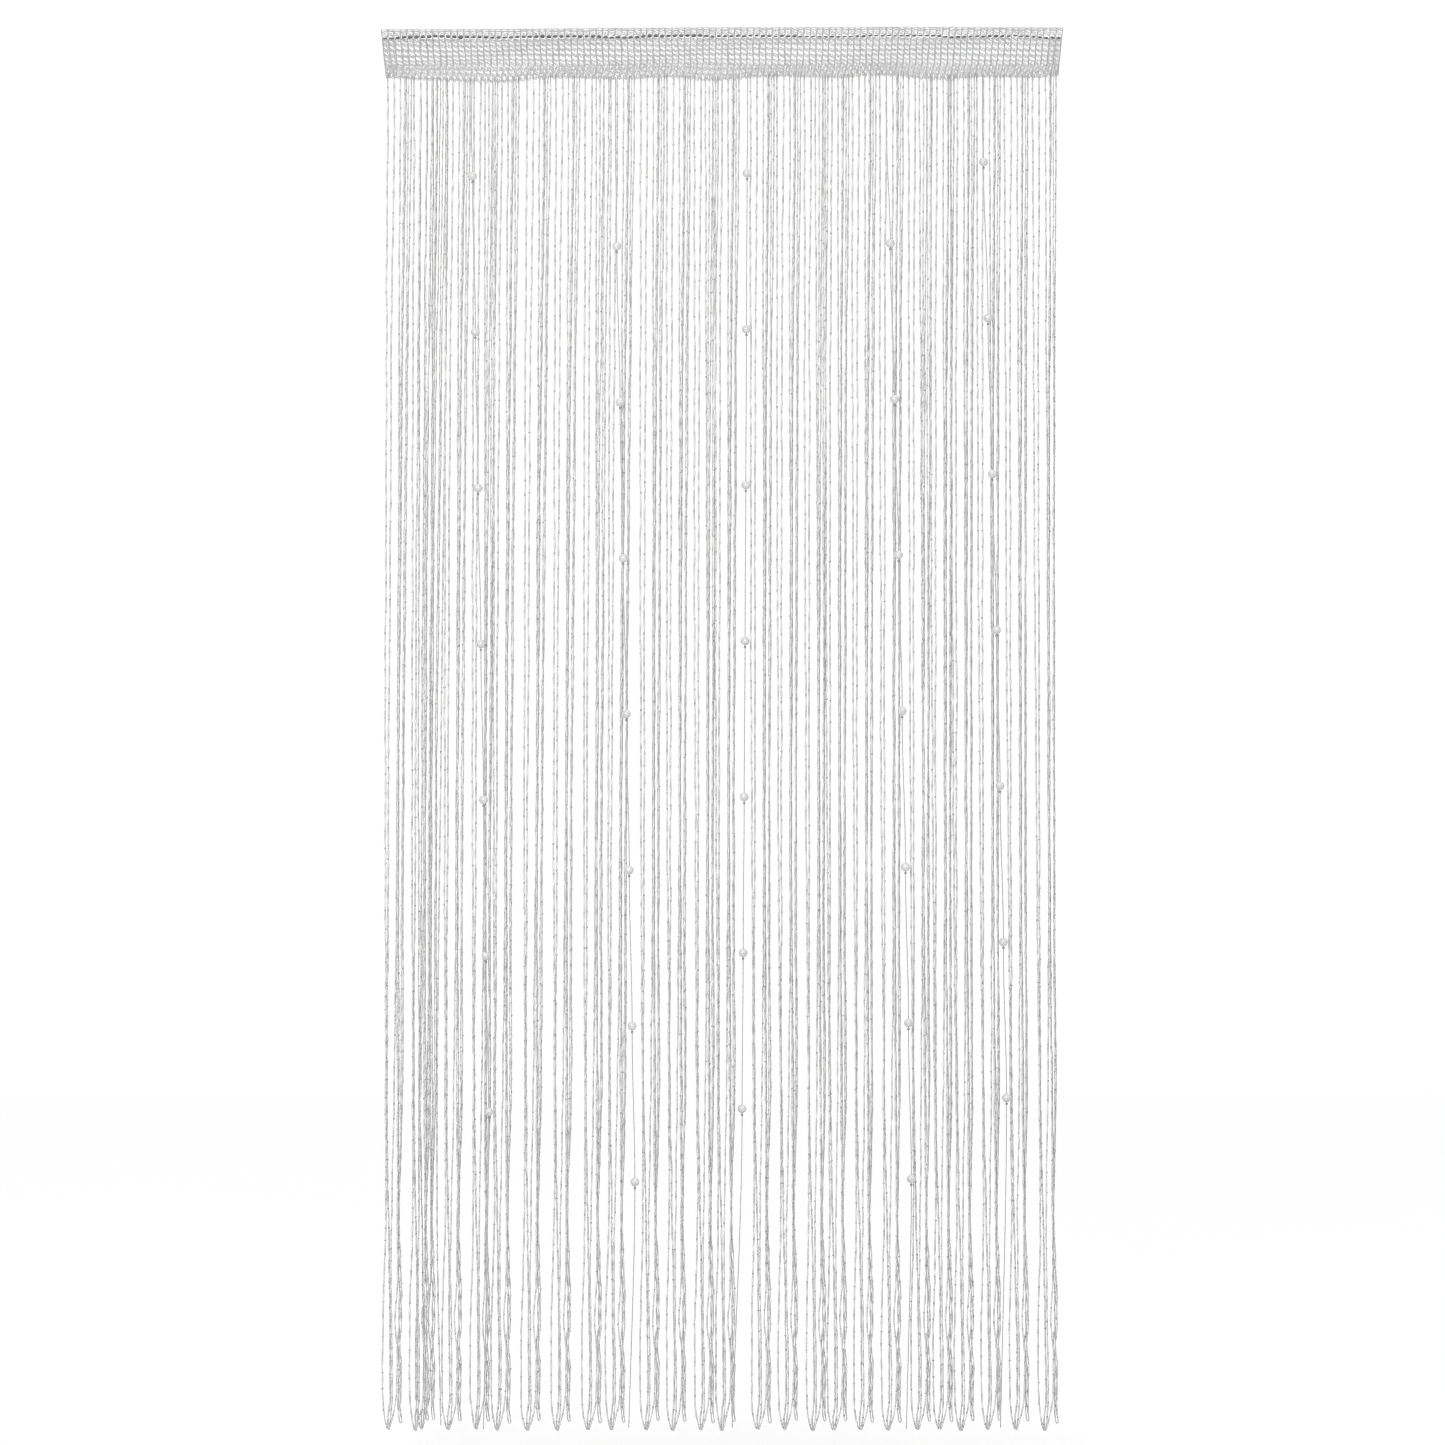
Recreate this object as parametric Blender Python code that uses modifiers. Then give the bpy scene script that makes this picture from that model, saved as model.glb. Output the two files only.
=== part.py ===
"""A bead curtain: a net heading with a rod pocket, a fringe of grouped strings and strings of pearls.

Metres, +Z up. The origin is the middle of the heading's top edge, and the curtain hangs down from it.
Its front faces -Y, and +X is to the right as it is looked at. Sizes below are in millimetres, and a
drop is a distance down from the top edge.
"""
import math
from collections import namedtuple

import bmesh
import bpy

MM = 0.001
MERGE = 0.00005

# Driving sizes, in millimetres
TOP_HALF_WIDTH = 485.5
FOOT_HALF_WIDTH = 478.0
FOOT_DROP = 74.0

# Heading: a single net edge above a stitched line, and a net pocket of two layers below it
STITCH_DROP = 13.1
STITCH_HALF_DEPTH = 0.8
TOP_EDGE_HALF_THICKNESS = 0.8
NET_THICKNESS = 1.3
NET_PITCH = 18.0
NET_ROW_PITCH = 14.5
NET_BAR = 3.6
NET_GAPS_ACROSS = 50
NET_ROWS = 2
POCKET_HALF_DEPTH = 5.2
DENSE_HALF_DEPTH = 4.6
HEM_HALF_DEPTH = 1.3
UPWARD = 0.9

# Backing strip that holds the strings' roots, parted from the heading by a small gap
GAP = 0.6
STRIP_HEIGHT = 3.6
STRIP_HALF_DEPTH = 3.1
STRIP_STATIONS = 51

# Strings
STRING_RADIUS = 0.85
STRING_SIDES = 3
ROOT_DEPTH = 2.0
ROOT_ROW = 2.1
LANE = 2.2

# Strings of pearls, which hang in front of the others
BEAD_STRING_RADIUS = 0.7
BEAD_STRING_Y = -12.5
BEAD_STRING_FORWARD_DROP = 165.0
PEARL_RADIUS = 6.5
PEARL_BORE_RADIUS = 1.2
PEARL_SIDES = 8
PEARL_BANDS = 4
PEARL_SPACING = 221.6
PEARLS_PER_STRING = 7
KNOT_RADIUS = 1.7
KNOT_LENGTH = 3.2

# How the top edge rises and how far the lower edge drops along the heading
Edge = namedtuple("Edge", "x rise foot")
EDGES = (
    Edge(x=-486.0, rise=-1.9, foot=74.0),
    Edge(x=-425.0, rise=-1.9, foot=77.5),
    Edge(x=-325.0, rise=-1.7, foot=79.0),
    Edge(x=-250.0, rise=-0.9, foot=73.0),
    Edge(x=-150.0, rise=0.0, foot=76.5),
    Edge(x=-80.0, rise=0.4, foot=72.8),
    Edge(x=-12.0, rise=0.9, foot=76.5),
    Edge(x=60.0, rise=0.9, foot=71.5),
    Edge(x=160.0, rise=1.1, foot=74.0),
    Edge(x=228.0, rise=1.7, foot=70.0),
    Edge(x=320.0, rise=1.2, foot=75.0),
    Edge(x=375.0, rise=1.0, foot=72.6),
    Edge(x=450.0, rise=0.5, foot=74.0),
    Edge(x=486.0, rise=0.2, foot=70.5),
)

# The groups of strings: where each hangs from, and where its looped tip ends
Group = namedtuple("Group", "top tip")
GROUPS = (
    Group(top=-475.7, tip=-475.6),
    Group(top=-438.2, tip=-437.0),
    Group(top=-429.2, tip=-428.8),
    Group(top=-392.0, tip=-390.6),
    Group(top=-352.7, tip=-350.6),
    Group(top=-322.6, tip=-320.7),
    Group(top=-277.6, tip=-278.0),
    Group(top=-236.3, tip=-235.4),
    Group(top=-194.5, tip=-191.6),
    Group(top=-158.3, tip=-158.0),
    Group(top=-115.7, tip=-108.6),
    Group(top=-78.4, tip=-70.9),
    Group(top=-39.1, tip=-30.9),
    Group(top=-9.3, tip=-1.0),
    Group(top=40.6, tip=50.1),
    Group(top=78.2, tip=88.3),
    Group(top=117.3, tip=128.3),
    Group(top=147.0, tip=158.2),
    Group(top=185.5, tip=195.9),
    Group(top=224.6, tip=235.3),
    Group(top=265.5, tip=277.4),
    Group(top=296.7, tip=308.8),
    Group(top=325.7, tip=339.2),
    Group(top=362.7, tip=377.4),
    Group(top=402.0, tip=417.4),
    Group(top=442.1, tip=458.5),
)

# The third group hangs close behind the second, so its strings keep to lanes further back
BACK_GROUP = 2
BACK_GROUP_LANES = 4
BACK_GROUP_ROOT_ROW = 1

# How far each string of a group stands right of the group's own line, at drops from root to tip
Station = namedtuple("Station", "drop a b c d e f g")
ROOT_OFFSETS = Station(drop=None, a=0.0, b=9.4, c=18.1, d=24.2, e=26.3, f=29.6, g=33.5)
STATIONS = (
    Station(drop=118.0, a=0.0, b=9.4, c=18.1, d=25.1, e=25.1, f=29.6, g=33.5),
    Station(drop=600.0, a=-0.4, b=6.0, c=18.1, d=20.4, e=20.4, f=27.3, g=28.5),
    Station(drop=1245.0, a=0.9, b=4.4, c=17.8, d=17.8, e=17.8, f=24.9, g=24.9),
    Station(drop=1525.0, a=3.3, b=3.3, c=14.2, d=20.1, e=20.1, f=25.2, g=25.2),
    Station(drop=1815.0, a=0.4, b=7.5, c=10.0, d=18.0, e=19.9, f=22.5, g=24.0),
)
LINE_TOP_DROP = 90.0
LINE_FOOT_DROP = 1954.0
TIP_BESIDE_LINE = 7.0

# Each string's end, the lane it hangs in and its row in the strip, both counted from front to back
Hang = namedtuple("Hang", "string end_offset end_drop lane root_row")
HANGS = (
    Hang(string="a", end_offset=7.0, end_drop=1997.0, lane=0, root_row=0),
    Hang(string="b", end_offset=7.4, end_drop=1997.0, lane=1, root_row=0),
    Hang(string="c", end_offset=8.2, end_drop=1995.0, lane=-1, root_row=-1),
    Hang(string="d", end_offset=6.2, end_drop=1994.0, lane=-2, root_row=-1),
    Hang(string="e", end_offset=22.9, end_drop=1986.0, lane=0, root_row=0),
    Hang(string="f", end_offset=24.3, end_drop=1987.0, lane=-1, root_row=-1),
    Hang(string="g", end_offset=25.7, end_drop=1985.0, lane=1, root_row=0),
)

# One string that hangs by itself beside the third group
LoneStation = namedtuple("LoneStation", "x drop")
LONE_STRING = (
    LoneStation(x=-391.0, drop=118.0),
    LoneStation(x=-399.0, drop=900.0),
    LoneStation(x=-404.5, drop=1815.0),
    LoneStation(x=-400.6, drop=1994.0),
)
LONE_LANE = 4

# Strings of pearls: places across the curtain at root, first pearl, last pearl and end
BeadString = namedtuple("BeadString", "root first last end first_drop bow")
BEAD_STRINGS = (
    BeadString(root=-355.9, first=-354.5, last=-331.7, end=-338.8, first_drop=213.5, bow=0.5),
    BeadString(root=-151.5, first=-149.5, last=-123.8, end=-132.5, first_drop=313.2, bow=0.7),
    BeadString(root=36.3, first=35.6, last=28.5, end=14.2, first_drop=209.3, bow=0.7),
    BeadString(root=234.0, first=239.1, last=269.0, end=262.1, first_drop=308.9, bow=2.0),
    BeadString(root=370.5, first=371.5, last=404.3, end=395.7, first_drop=193.6, bow=2.0),
)
BEAD_STRING_END_DROP = 1994.0

# Finishes: colour, metallic and roughness
Finish = namedtuple("Finish", "name color metallic roughness")
NET_FINISH = Finish("Knitted net", (0.62, 0.62, 0.64, 1.0), 0.0, 0.85)
YARN_FINISH = Finish("Nubby yarn", (0.66, 0.66, 0.68, 1.0), 0.0, 0.8)
PEARL_FINISH = Finish("Pearl", (0.9, 0.89, 0.87, 1.0), 0.0, 0.22)


def eased(start, end, share):
    """A value between two others, level at both."""
    return start + (end - start) * (1.0 - math.cos(math.pi * share)) / 2.0


def edge_at(x):
    """The heading's rise and foot at x, eased between the table's rows."""
    x = min(max(x, EDGES[0].x), EDGES[-1].x)
    for left, right in zip(EDGES, EDGES[1:]):
        if x <= right.x:
            share = (x - left.x) / (right.x - left.x)
            return Edge(x, eased(left.rise, right.rise, share), eased(left.foot, right.foot, share))


def half_width(drop):
    """Half the heading's width at a drop: its ends slant in towards the foot."""
    return TOP_HALF_WIDTH - (TOP_HALF_WIDTH - FOOT_HALF_WIDTH) * drop / FOOT_DROP


def heading_point(column, drop, y):
    """A point of the heading in metres: column is x as it is at the top edge."""
    x = column * half_width(drop) / TOP_HALF_WIDTH
    lift = edge_at(x).rise * max(0.0, 1.0 - drop / FOOT_DROP)
    return (x * MM, y * MM, (lift - drop) * MM)


def wrapped_grid(columns, ring_at):
    """A tube along X: one grid, wrapped at each column into the closed ring that ring_at gives."""
    rings = [ring_at(column) for column in columns]
    across = len(columns) - 1
    around = len(rings[0])
    mesh = bmesh.new()
    bmesh.ops.create_grid(mesh, x_segments=across, y_segments=around, size=0.5)
    for vert in mesh.verts:
        ring = rings[round((vert.co.x + 0.5) * across)]
        vert.co = ring[round((vert.co.y + 0.5) * around) % around]
    bmesh.ops.remove_doubles(mesh, verts=mesh.verts, dist=MERGE)
    bmesh.ops.recalc_face_normals(mesh, faces=mesh.faces)
    return mesh


def add_object(name, mesh, finish, collection):
    """A new object for a mesh, with its own material."""
    material = bpy.data.materials.new(finish.name)
    material.use_nodes = True
    shader = material.node_tree.nodes["Principled BSDF"]
    shader.inputs["Base Color"].default_value = finish.color
    shader.inputs["Metallic"].default_value = finish.metallic
    shader.inputs["Roughness"].default_value = finish.roughness
    material.diffuse_color = finish.color
    mesh.materials.clear()
    mesh.materials.append(material)
    item = bpy.data.objects.new(name, mesh)
    collection.objects.link(item)
    return item


def evaluated_mesh(item):
    """An object's mesh with its modifiers applied."""
    bpy.context.view_layer.update()
    depsgraph = bpy.context.evaluated_depsgraph_get()
    return bpy.data.meshes.new_from_object(item.evaluated_get(depsgraph))


def net_columns():
    """Both sides of every gap across the net, and the heading's two ends."""
    half_gap = (NET_PITCH - NET_BAR) / 2.0
    columns = [-TOP_HALF_WIDTH]
    for gap in range(NET_GAPS_ACROSS):
        centre = (gap - (NET_GAPS_ACROSS - 1) / 2.0) * NET_PITCH
        columns += [centre - half_gap, centre + half_gap]
    return columns + [TOP_HALF_WIDTH]


def net_row_drops():
    """Upper and lower side of every row of gaps; the first starts at the stitched line."""
    gap = NET_ROW_PITCH - NET_BAR
    starts = [STITCH_DROP + row * NET_ROW_PITCH for row in range(NET_ROWS)]
    return [(start, start + gap) for start in starts]


def pocket_ring(column):
    """The pocket's section: down its front layer, under the hem and up its back layer."""
    hem_drop = edge_at(column).foot - STRIP_HEIGHT - GAP - NET_THICKNESS / 2.0
    rows = net_row_drops()
    front = [
        (rows[0][0], STITCH_HALF_DEPTH),
        (rows[0][1], POCKET_HALF_DEPTH),
        (rows[1][0], POCKET_HALF_DEPTH),
        (rows[1][1], DENSE_HALF_DEPTH),
    ]
    points = [heading_point(column, drop, -depth) for drop, depth in front]
    x = heading_point(column, hem_drop, 0.0)[0]
    points.append((x, -HEM_HALF_DEPTH * MM, -hem_drop * MM))
    return points + [(x, -y, z) for x, y, z in reversed(points)]


def cut_net_gaps(mesh):
    """Deletes the net's gaps from both layers of the pocket."""
    columns = net_columns()
    gap_columns = list(zip(columns[1:-1:2], columns[2:-1:2]))
    gaps = []
    for face in mesh.faces:
        centre = face.calc_center_median() / MM
        column = centre.x * TOP_HALF_WIDTH / half_width(-centre.z)
        on_wall = abs(centre.y) > STITCH_HALF_DEPTH
        in_column = any(left < column < right for left, right in gap_columns)
        in_row = any(abs(-centre.z - (top + foot) / 2.0) < NET_BAR for top, foot in net_row_drops())
        if on_wall and in_column and in_row:
            gaps.append(face)
    bmesh.ops.delete(mesh, geom=gaps, context="FACES")


def raise_top_edge(mesh):
    """Draws the single net edge up out of the flat strip along the stitched line."""
    lowest = -(STITCH_DROP + NET_BAR) * MM
    upward = [face for face in mesh.faces if face.normal.z > UPWARD]
    strip = [face for face in upward if face.calc_center_median().z > lowest]
    grown = bmesh.ops.extrude_face_region(mesh, geom=strip)
    bmesh.ops.delete(mesh, geom=strip, context="FACES")
    for vert in grown["geom"]:
        if isinstance(vert, bmesh.types.BMVert):
            column = vert.co.x / MM * TOP_HALF_WIDTH / half_width(-vert.co.z / MM)
            y = math.copysign(TOP_EDGE_HALF_THICKNESS, vert.co.y)
            vert.co = heading_point(column, 0.0, y)


def make_heading(collection):
    """The knitted net heading: a pocket open at both ends, hanging below a single top edge."""
    sheet = wrapped_grid(net_columns(), pocket_ring)
    cut_net_gaps(sheet)
    layer = bpy.data.meshes.new("Pocket layer")
    sheet.to_mesh(layer)
    sheet.free()
    guide = bpy.data.objects.new("Pocket layer", layer)
    collection.objects.link(guide)
    wall = guide.modifiers.new("Wall", "SOLIDIFY")
    wall.thickness = NET_THICKNESS * MM
    wall.offset = 0.0
    wall.use_even_offset = True
    wall.use_rim = True
    mesh = evaluated_mesh(guide)
    bpy.data.objects.remove(guide)
    solid = bmesh.new()
    solid.from_mesh(mesh)
    raise_top_edge(solid)
    bmesh.ops.recalc_face_normals(solid, faces=solid.faces)
    solid.to_mesh(mesh)
    solid.free()
    return add_object("heading", mesh, NET_FINISH, collection)


def strip_ring(column):
    """The backing strip's section below the hem."""
    x = column * FOOT_HALF_WIDTH / TOP_HALF_WIDTH
    foot = edge_at(column).foot
    top = foot - STRIP_HEIGHT
    corners = ((-1, top), (-1, foot), (1, foot), (1, top))
    return [(x * MM, side * STRIP_HALF_DEPTH * MM, -drop * MM) for side, drop in corners]


def make_strip(collection):
    """The narrow strip that follows the heading's uneven foot."""
    span = 2.0 * TOP_HALF_WIDTH / (STRIP_STATIONS - 1)
    columns = [-TOP_HALF_WIDTH + station * span for station in range(STRIP_STATIONS)]
    strip = wrapped_grid(columns, strip_ring)
    rim = [edge for edge in strip.edges if edge.is_boundary]
    bmesh.ops.holes_fill(strip, edges=rim, sides=4)
    bmesh.ops.recalc_face_normals(strip, faces=strip.faces)
    mesh = bpy.data.meshes.new("string_fringe")
    strip.to_mesh(mesh)
    strip.free()
    return add_object("string_fringe", mesh, YARN_FINISH, collection)


def root_point(x, root_row):
    """Where a string starts, inside the strip."""
    return (x, root_row * ROOT_ROW, edge_at(x).foot - ROOT_DEPTH)


def group_line(group, drop):
    """The line that a group's strings keep to, at a drop."""
    share = (drop - LINE_TOP_DROP) / (LINE_FOOT_DROP - LINE_TOP_DROP)
    return group.top + (group.tip - TIP_BESIDE_LINE - group.top) * share


def group_string(index, group, hang):
    """The points of one string of a group as (x, y, drop) in millimetres."""
    behind = index == BACK_GROUP
    y = (hang.lane + BACK_GROUP_LANES * behind) * LANE
    root_row = BACK_GROUP_ROOT_ROW if behind else hang.root_row
    points = [root_point(group.top + getattr(ROOT_OFFSETS, hang.string), root_row)]
    for station in STATIONS:
        x = group_line(group, station.drop) + getattr(station, hang.string)
        points.append((x, y, station.drop))
    points.append((group_line(group, LINE_FOOT_DROP) + hang.end_offset, y, hang.end_drop))
    return points


def lone_string():
    """The points of the string that hangs by itself."""
    y = LONE_LANE * LANE
    points = [root_point(LONE_STRING[0].x, BACK_GROUP_ROOT_ROW)]
    return points + [(station.x, y, station.drop) for station in LONE_STRING]


def pearl_places(bead_string):
    """The pearls' centres on one string, as (x, drop)."""
    places = []
    for pearl in range(PEARLS_PER_STRING):
        share = pearl / (PEARLS_PER_STRING - 1)
        x = bead_string.first + (bead_string.last - bead_string.first) * share
        x += bead_string.bow * math.sin(math.pi * share)
        places.append((x, bead_string.first_drop + PEARL_SPACING * pearl))
    return places


def bead_string_points(bead_string):
    """The points of a string of pearls, with a knot under each pearl, as (x, y, drop, thickness)."""
    front_row = -1
    points = [root_point(bead_string.root, front_row) + (1.0,)]
    points.append((bead_string.root, BEAD_STRING_Y, BEAD_STRING_FORWARD_DROP, 1.0))
    knot_top = PEARL_RADIUS + GAP
    for x, drop in pearl_places(bead_string):
        points.append((x, BEAD_STRING_Y, drop + knot_top, 1.0))
        points.append((x, BEAD_STRING_Y, drop + knot_top + KNOT_LENGTH / 2.0, KNOT_RADIUS / BEAD_STRING_RADIUS))
        points.append((x, BEAD_STRING_Y, drop + knot_top + KNOT_LENGTH, 1.0))
    points.append((bead_string.end, BEAD_STRING_Y, BEAD_STRING_END_DROP, 1.0))
    return points


def string_mesh(name, paths, radius):
    """One mesh of many strings: poly splines with a small polygon as their section."""
    section = bpy.data.curves.new(name + " section", "CURVE")
    section.dimensions = "2D"
    outline = section.splines.new("POLY")
    outline.points.add(STRING_SIDES - 1)
    outline.use_cyclic_u = True
    for corner, point in enumerate(outline.points):
        angle = 2.0 * math.pi * corner / STRING_SIDES
        point.co = (radius * MM * math.cos(angle), radius * MM * math.sin(angle), 0.0, 1.0)
    section_object = bpy.data.objects.new(name + " section", section)
    curve = bpy.data.curves.new(name, "CURVE")
    curve.dimensions = "3D"
    curve.bevel_mode = "OBJECT"
    curve.bevel_object = section_object
    curve.use_fill_caps = True
    for path in paths:
        spline = curve.splines.new("POLY")
        spline.points.add(len(path) - 1)
        for point, (x, y, drop, scale) in zip(spline.points, path):
            point.co = (x * MM, y * MM, -drop * MM, 1.0)
            point.radius = scale
    strings = bpy.data.objects.new(name, curve)
    bpy.context.scene.collection.objects.link(section_object)
    bpy.context.scene.collection.objects.link(strings)
    mesh = evaluated_mesh(strings)
    bpy.data.objects.remove(strings)
    bpy.data.objects.remove(section_object)
    welded = bmesh.new()
    welded.from_mesh(mesh)
    bmesh.ops.remove_doubles(welded, verts=welded.verts, dist=MERGE)
    bmesh.ops.recalc_face_normals(welded, faces=welded.faces)
    welded.to_mesh(mesh)
    welded.free()
    return mesh


def join_strings(strip, name, paths, radius, cutters):
    """Fuses strings into the strip at their roots."""
    mesh = string_mesh(name, paths, radius)
    strings = bpy.data.objects.new(name, mesh)
    cutters.objects.link(strings)
    strings.hide_render = True
    strings.display_type = "WIRE"
    union = strip.modifiers.new(name, "BOOLEAN")
    union.operation = "UNION"
    union.solver = "EXACT"
    union.object = strings


def make_fringe(collection, cutters):
    """The fringe: every string stands apart but for its root in the narrow strip."""
    strip = make_strip(collection)
    plain = [group_string(index, group, hang) for index, group in enumerate(GROUPS) for hang in HANGS]
    plain.append(lone_string())
    plain = [[point + (1.0,) for point in path] for path in plain]
    beaded = [bead_string_points(bead_string) for bead_string in BEAD_STRINGS]
    join_strings(strip, "Yarn strings", plain, STRING_RADIUS, cutters)
    join_strings(strip, "Bead strings", beaded, BEAD_STRING_RADIUS, cutters)
    return strip


def pearl_mesh():
    """A bored pearl: its outer arc and its bore, turned about Z."""
    rim_angle = math.asin(PEARL_BORE_RADIUS / PEARL_RADIUS)
    profile = bmesh.new()
    verts = []
    for band in range(PEARL_BANDS + 1):
        angle = rim_angle + (math.pi - 2.0 * rim_angle) * band / PEARL_BANDS
        x = PEARL_RADIUS * math.sin(angle) * MM
        z = PEARL_RADIUS * math.cos(angle) * MM
        verts.append(profile.verts.new((x, 0.0, z)))
    for upper, lower in zip(verts, verts[1:] + verts[:1]):
        profile.edges.new((upper, lower))
    mesh = bpy.data.meshes.new("Pearl profile")
    profile.to_mesh(mesh)
    profile.free()
    return mesh


def make_pearls(collection):
    """Every pearl is its own object on its string, turned from the shared profile."""
    pearls = []
    for string_number, bead_string in enumerate(BEAD_STRINGS, 1):
        for pearl_number, (x, drop) in enumerate(pearl_places(bead_string), 1):
            name = "pearl_%d_%d" % (string_number, pearl_number)
            pearl = add_object(name, pearl_mesh(), PEARL_FINISH, collection)
            pearl.location = (x * MM, BEAD_STRING_Y * MM, -drop * MM)
            turned = pearl.modifiers.new("Turned", "SCREW")
            turned.axis = "Z"
            turned.steps = PEARL_SIDES
            turned.render_steps = PEARL_SIDES
            turned.use_merge_vertices = True
            turned.merge_threshold = MERGE
            pearls.append(pearl)
    return pearls


def main():
    """Clears the scene and makes the curtain."""
    for item in list(bpy.data.objects):
        bpy.data.objects.remove(item)
    collection = bpy.data.collections.new("Bead curtain")
    cutters = bpy.data.collections.new("Strings before they are fused")
    bpy.context.scene.collection.children.link(collection)
    bpy.context.scene.collection.children.link(cutters)
    make_heading(collection)
    make_fringe(collection, cutters)
    make_pearls(collection)


main()
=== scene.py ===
"""The looks of a bead curtain: a knitted net heading, groups of nubby strings and five strings of pearls.

Sizes are in millimetres until a mesh is made, and its points are in metres. +Z is up, the front faces -Y,
and the origin is the middle of the heading's top edge. A drop is a distance down from that edge.
"""
import math
from collections import namedtuple

import bmesh
import bpy
import numpy as np
from bpy.props import FloatProperty, IntProperty, PointerProperty, StringProperty
from mathutils import Euler, Matrix, Vector


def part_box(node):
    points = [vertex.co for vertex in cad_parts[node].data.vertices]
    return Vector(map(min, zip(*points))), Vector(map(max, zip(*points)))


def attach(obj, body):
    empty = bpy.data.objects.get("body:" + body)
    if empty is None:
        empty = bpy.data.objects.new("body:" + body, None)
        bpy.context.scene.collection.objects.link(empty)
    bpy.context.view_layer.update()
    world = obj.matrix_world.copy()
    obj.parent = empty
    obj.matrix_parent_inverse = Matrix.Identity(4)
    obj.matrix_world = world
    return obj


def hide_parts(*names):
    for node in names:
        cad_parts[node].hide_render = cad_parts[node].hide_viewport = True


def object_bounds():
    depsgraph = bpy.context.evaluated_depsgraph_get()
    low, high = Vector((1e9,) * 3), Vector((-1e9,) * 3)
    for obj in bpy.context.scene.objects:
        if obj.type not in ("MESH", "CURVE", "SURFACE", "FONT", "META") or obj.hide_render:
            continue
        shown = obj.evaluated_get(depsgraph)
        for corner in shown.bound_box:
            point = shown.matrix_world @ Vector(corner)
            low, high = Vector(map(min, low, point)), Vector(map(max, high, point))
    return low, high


bl_info = {
    "name": "Bead Curtain",
    "version": (1, 0, 0),
    "blender": (4, 5, 0),
    "location": "View3D > Sidebar > Bead Curtain",
    "description": "Dresses a hanging bead curtain: knitted heading, nubby strings, pearls and a plain stage",
    "category": "Add Mesh",
}

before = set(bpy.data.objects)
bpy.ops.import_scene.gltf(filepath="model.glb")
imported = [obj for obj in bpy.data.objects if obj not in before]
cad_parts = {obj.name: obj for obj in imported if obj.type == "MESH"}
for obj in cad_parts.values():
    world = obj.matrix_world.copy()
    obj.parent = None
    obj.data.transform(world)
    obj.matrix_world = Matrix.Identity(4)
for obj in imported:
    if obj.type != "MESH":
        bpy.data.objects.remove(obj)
CAD_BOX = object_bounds()

MM = 0.001
BODY = "root"
FULL_TURN = 6.3

# The UV maps count along a yarn in centimetres
UV_UNIT = 10.0

# Seeds of the random strays. The nubby strings have theirs in the settings
SWAY_SEED = 3
HEADING_SEED = 40
SEAM_SEED = 5
CORD_SEED = 17
PEARL_SEED = 23


def table(columns, *rows):
    """A table: a row for each section, yarn or string, with named columns."""
    row_kind = namedtuple("Row", columns)
    return [row_kind(*row) for row in rows]


# The heading's box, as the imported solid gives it, and its own sizes
TOP_HALF_WIDTH = 485.5
FOOT_HALF_WIDTH = 478.0
FOOT_DROP = 74.0

# How the top edge rises and how far the lower edge drops along the heading
EDGES = table(
    "x rise foot",
    (-486.0, -1.9, 74.0),
    (-425.0, -1.9, 77.5),
    (-325.0, -1.7, 79.0),
    (-250.0, -0.9, 73.0),
    (-150.0, 0.0, 76.5),
    (-80.0, 0.4, 72.8),
    (-12.0, 0.9, 76.5),
    (60.0, 0.9, 71.5),
    (160.0, 1.1, 74.0),
    (228.0, 1.7, 70.0),
    (320.0, 1.2, 75.0),
    (375.0, 1.0, 72.6),
    (450.0, 0.5, 74.0),
    (486.0, 0.2, 70.5),
)

# The pocket's section: half its depth at drops from the top edge to the foot
SECTION = table(
    "drop half_depth",
    (0.0, 0.7),
    (6.0, 0.95),
    (13.1, 0.95),
    (24.0, 5.2),
    (28.0, 5.2),
    (38.5, 4.6),
    (54.0, 3.0),
    (69.0, 1.7),
    (80.0, 1.5),
)

# Bars along the top edge: how far each arches between pillars, and its share of the yarn's thickness
BARS = table(
    "drop arch thickness",
    (2.3, 0.6, 0.95),
    (5.0, 0.9, 0.95),
)

# Inlay yarns slant down through every cell and climb back along the pillar. Three of the rows are bundles
BUNDLE_ROWS = (24.0, 31.4, 38.8)
BUNDLE_YARNS = ((0.0, 3.2, 0.62), (1.3, 3.6, 0.72), (2.8, 4.0, 0.62))
INLAYS = table(
    "drop slant thickness",
    (4.6, 2.2, 0.7),
    (7.4, 3.0, 0.65),
    (9.4, 4.2, 0.85),
    (11.2, 3.0, 0.75),
    (16.4, 2.4, 0.8),
    (18.0, 3.0, 0.85),
    (19.6, 4.2, 0.75),
    *[(row + below, slant, thickness) for row in BUNDLE_ROWS for below, slant, thickness in BUNDLE_YARNS],
    (46.2, 2.8, 0.5),
    (47.8, 3.4, 0.6),
)

# The corners of an inlay yarn in each cell, and how far in from the pillars it runs
INLAY_ACROSS = np.array([0.07, 0.5, 0.93])
INLAY_FALL = np.array([-0.5, 0.0, 0.5])
INLAY_INWARD = 0.3

# The rows of the net wave up and down a little, and the wave turns from row to row
ROW_WAVE = 1.2
ROW_WAVE_LENGTH = 290.0
ROW_WAVE_TURN = 9.0
ROW_WAVE_FADE = (12.0, 22.0)

# A finer yarn zigzags loosely through each bundle
FINE_ROWS = (21.2, 25.4, 32.8, 40.2, 47.6)
FINE_SWING = 1.9
FINE_THICKNESS = 0.6

# Below the net the knit is dense: thick bundles of inlay yarns, staggered row by row, down to the wavy foot
DENSE_FROM = 53.0
DENSE_ROWS = 4
DENSE_BUNDLE = (-1.55, 0.0, 1.55)
DENSE_SLANT = 4.2
DENSE_SLIDE = 0.4
DENSE_THICKNESS = 0.63
FOOT_MARGIN = 3.2

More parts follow.
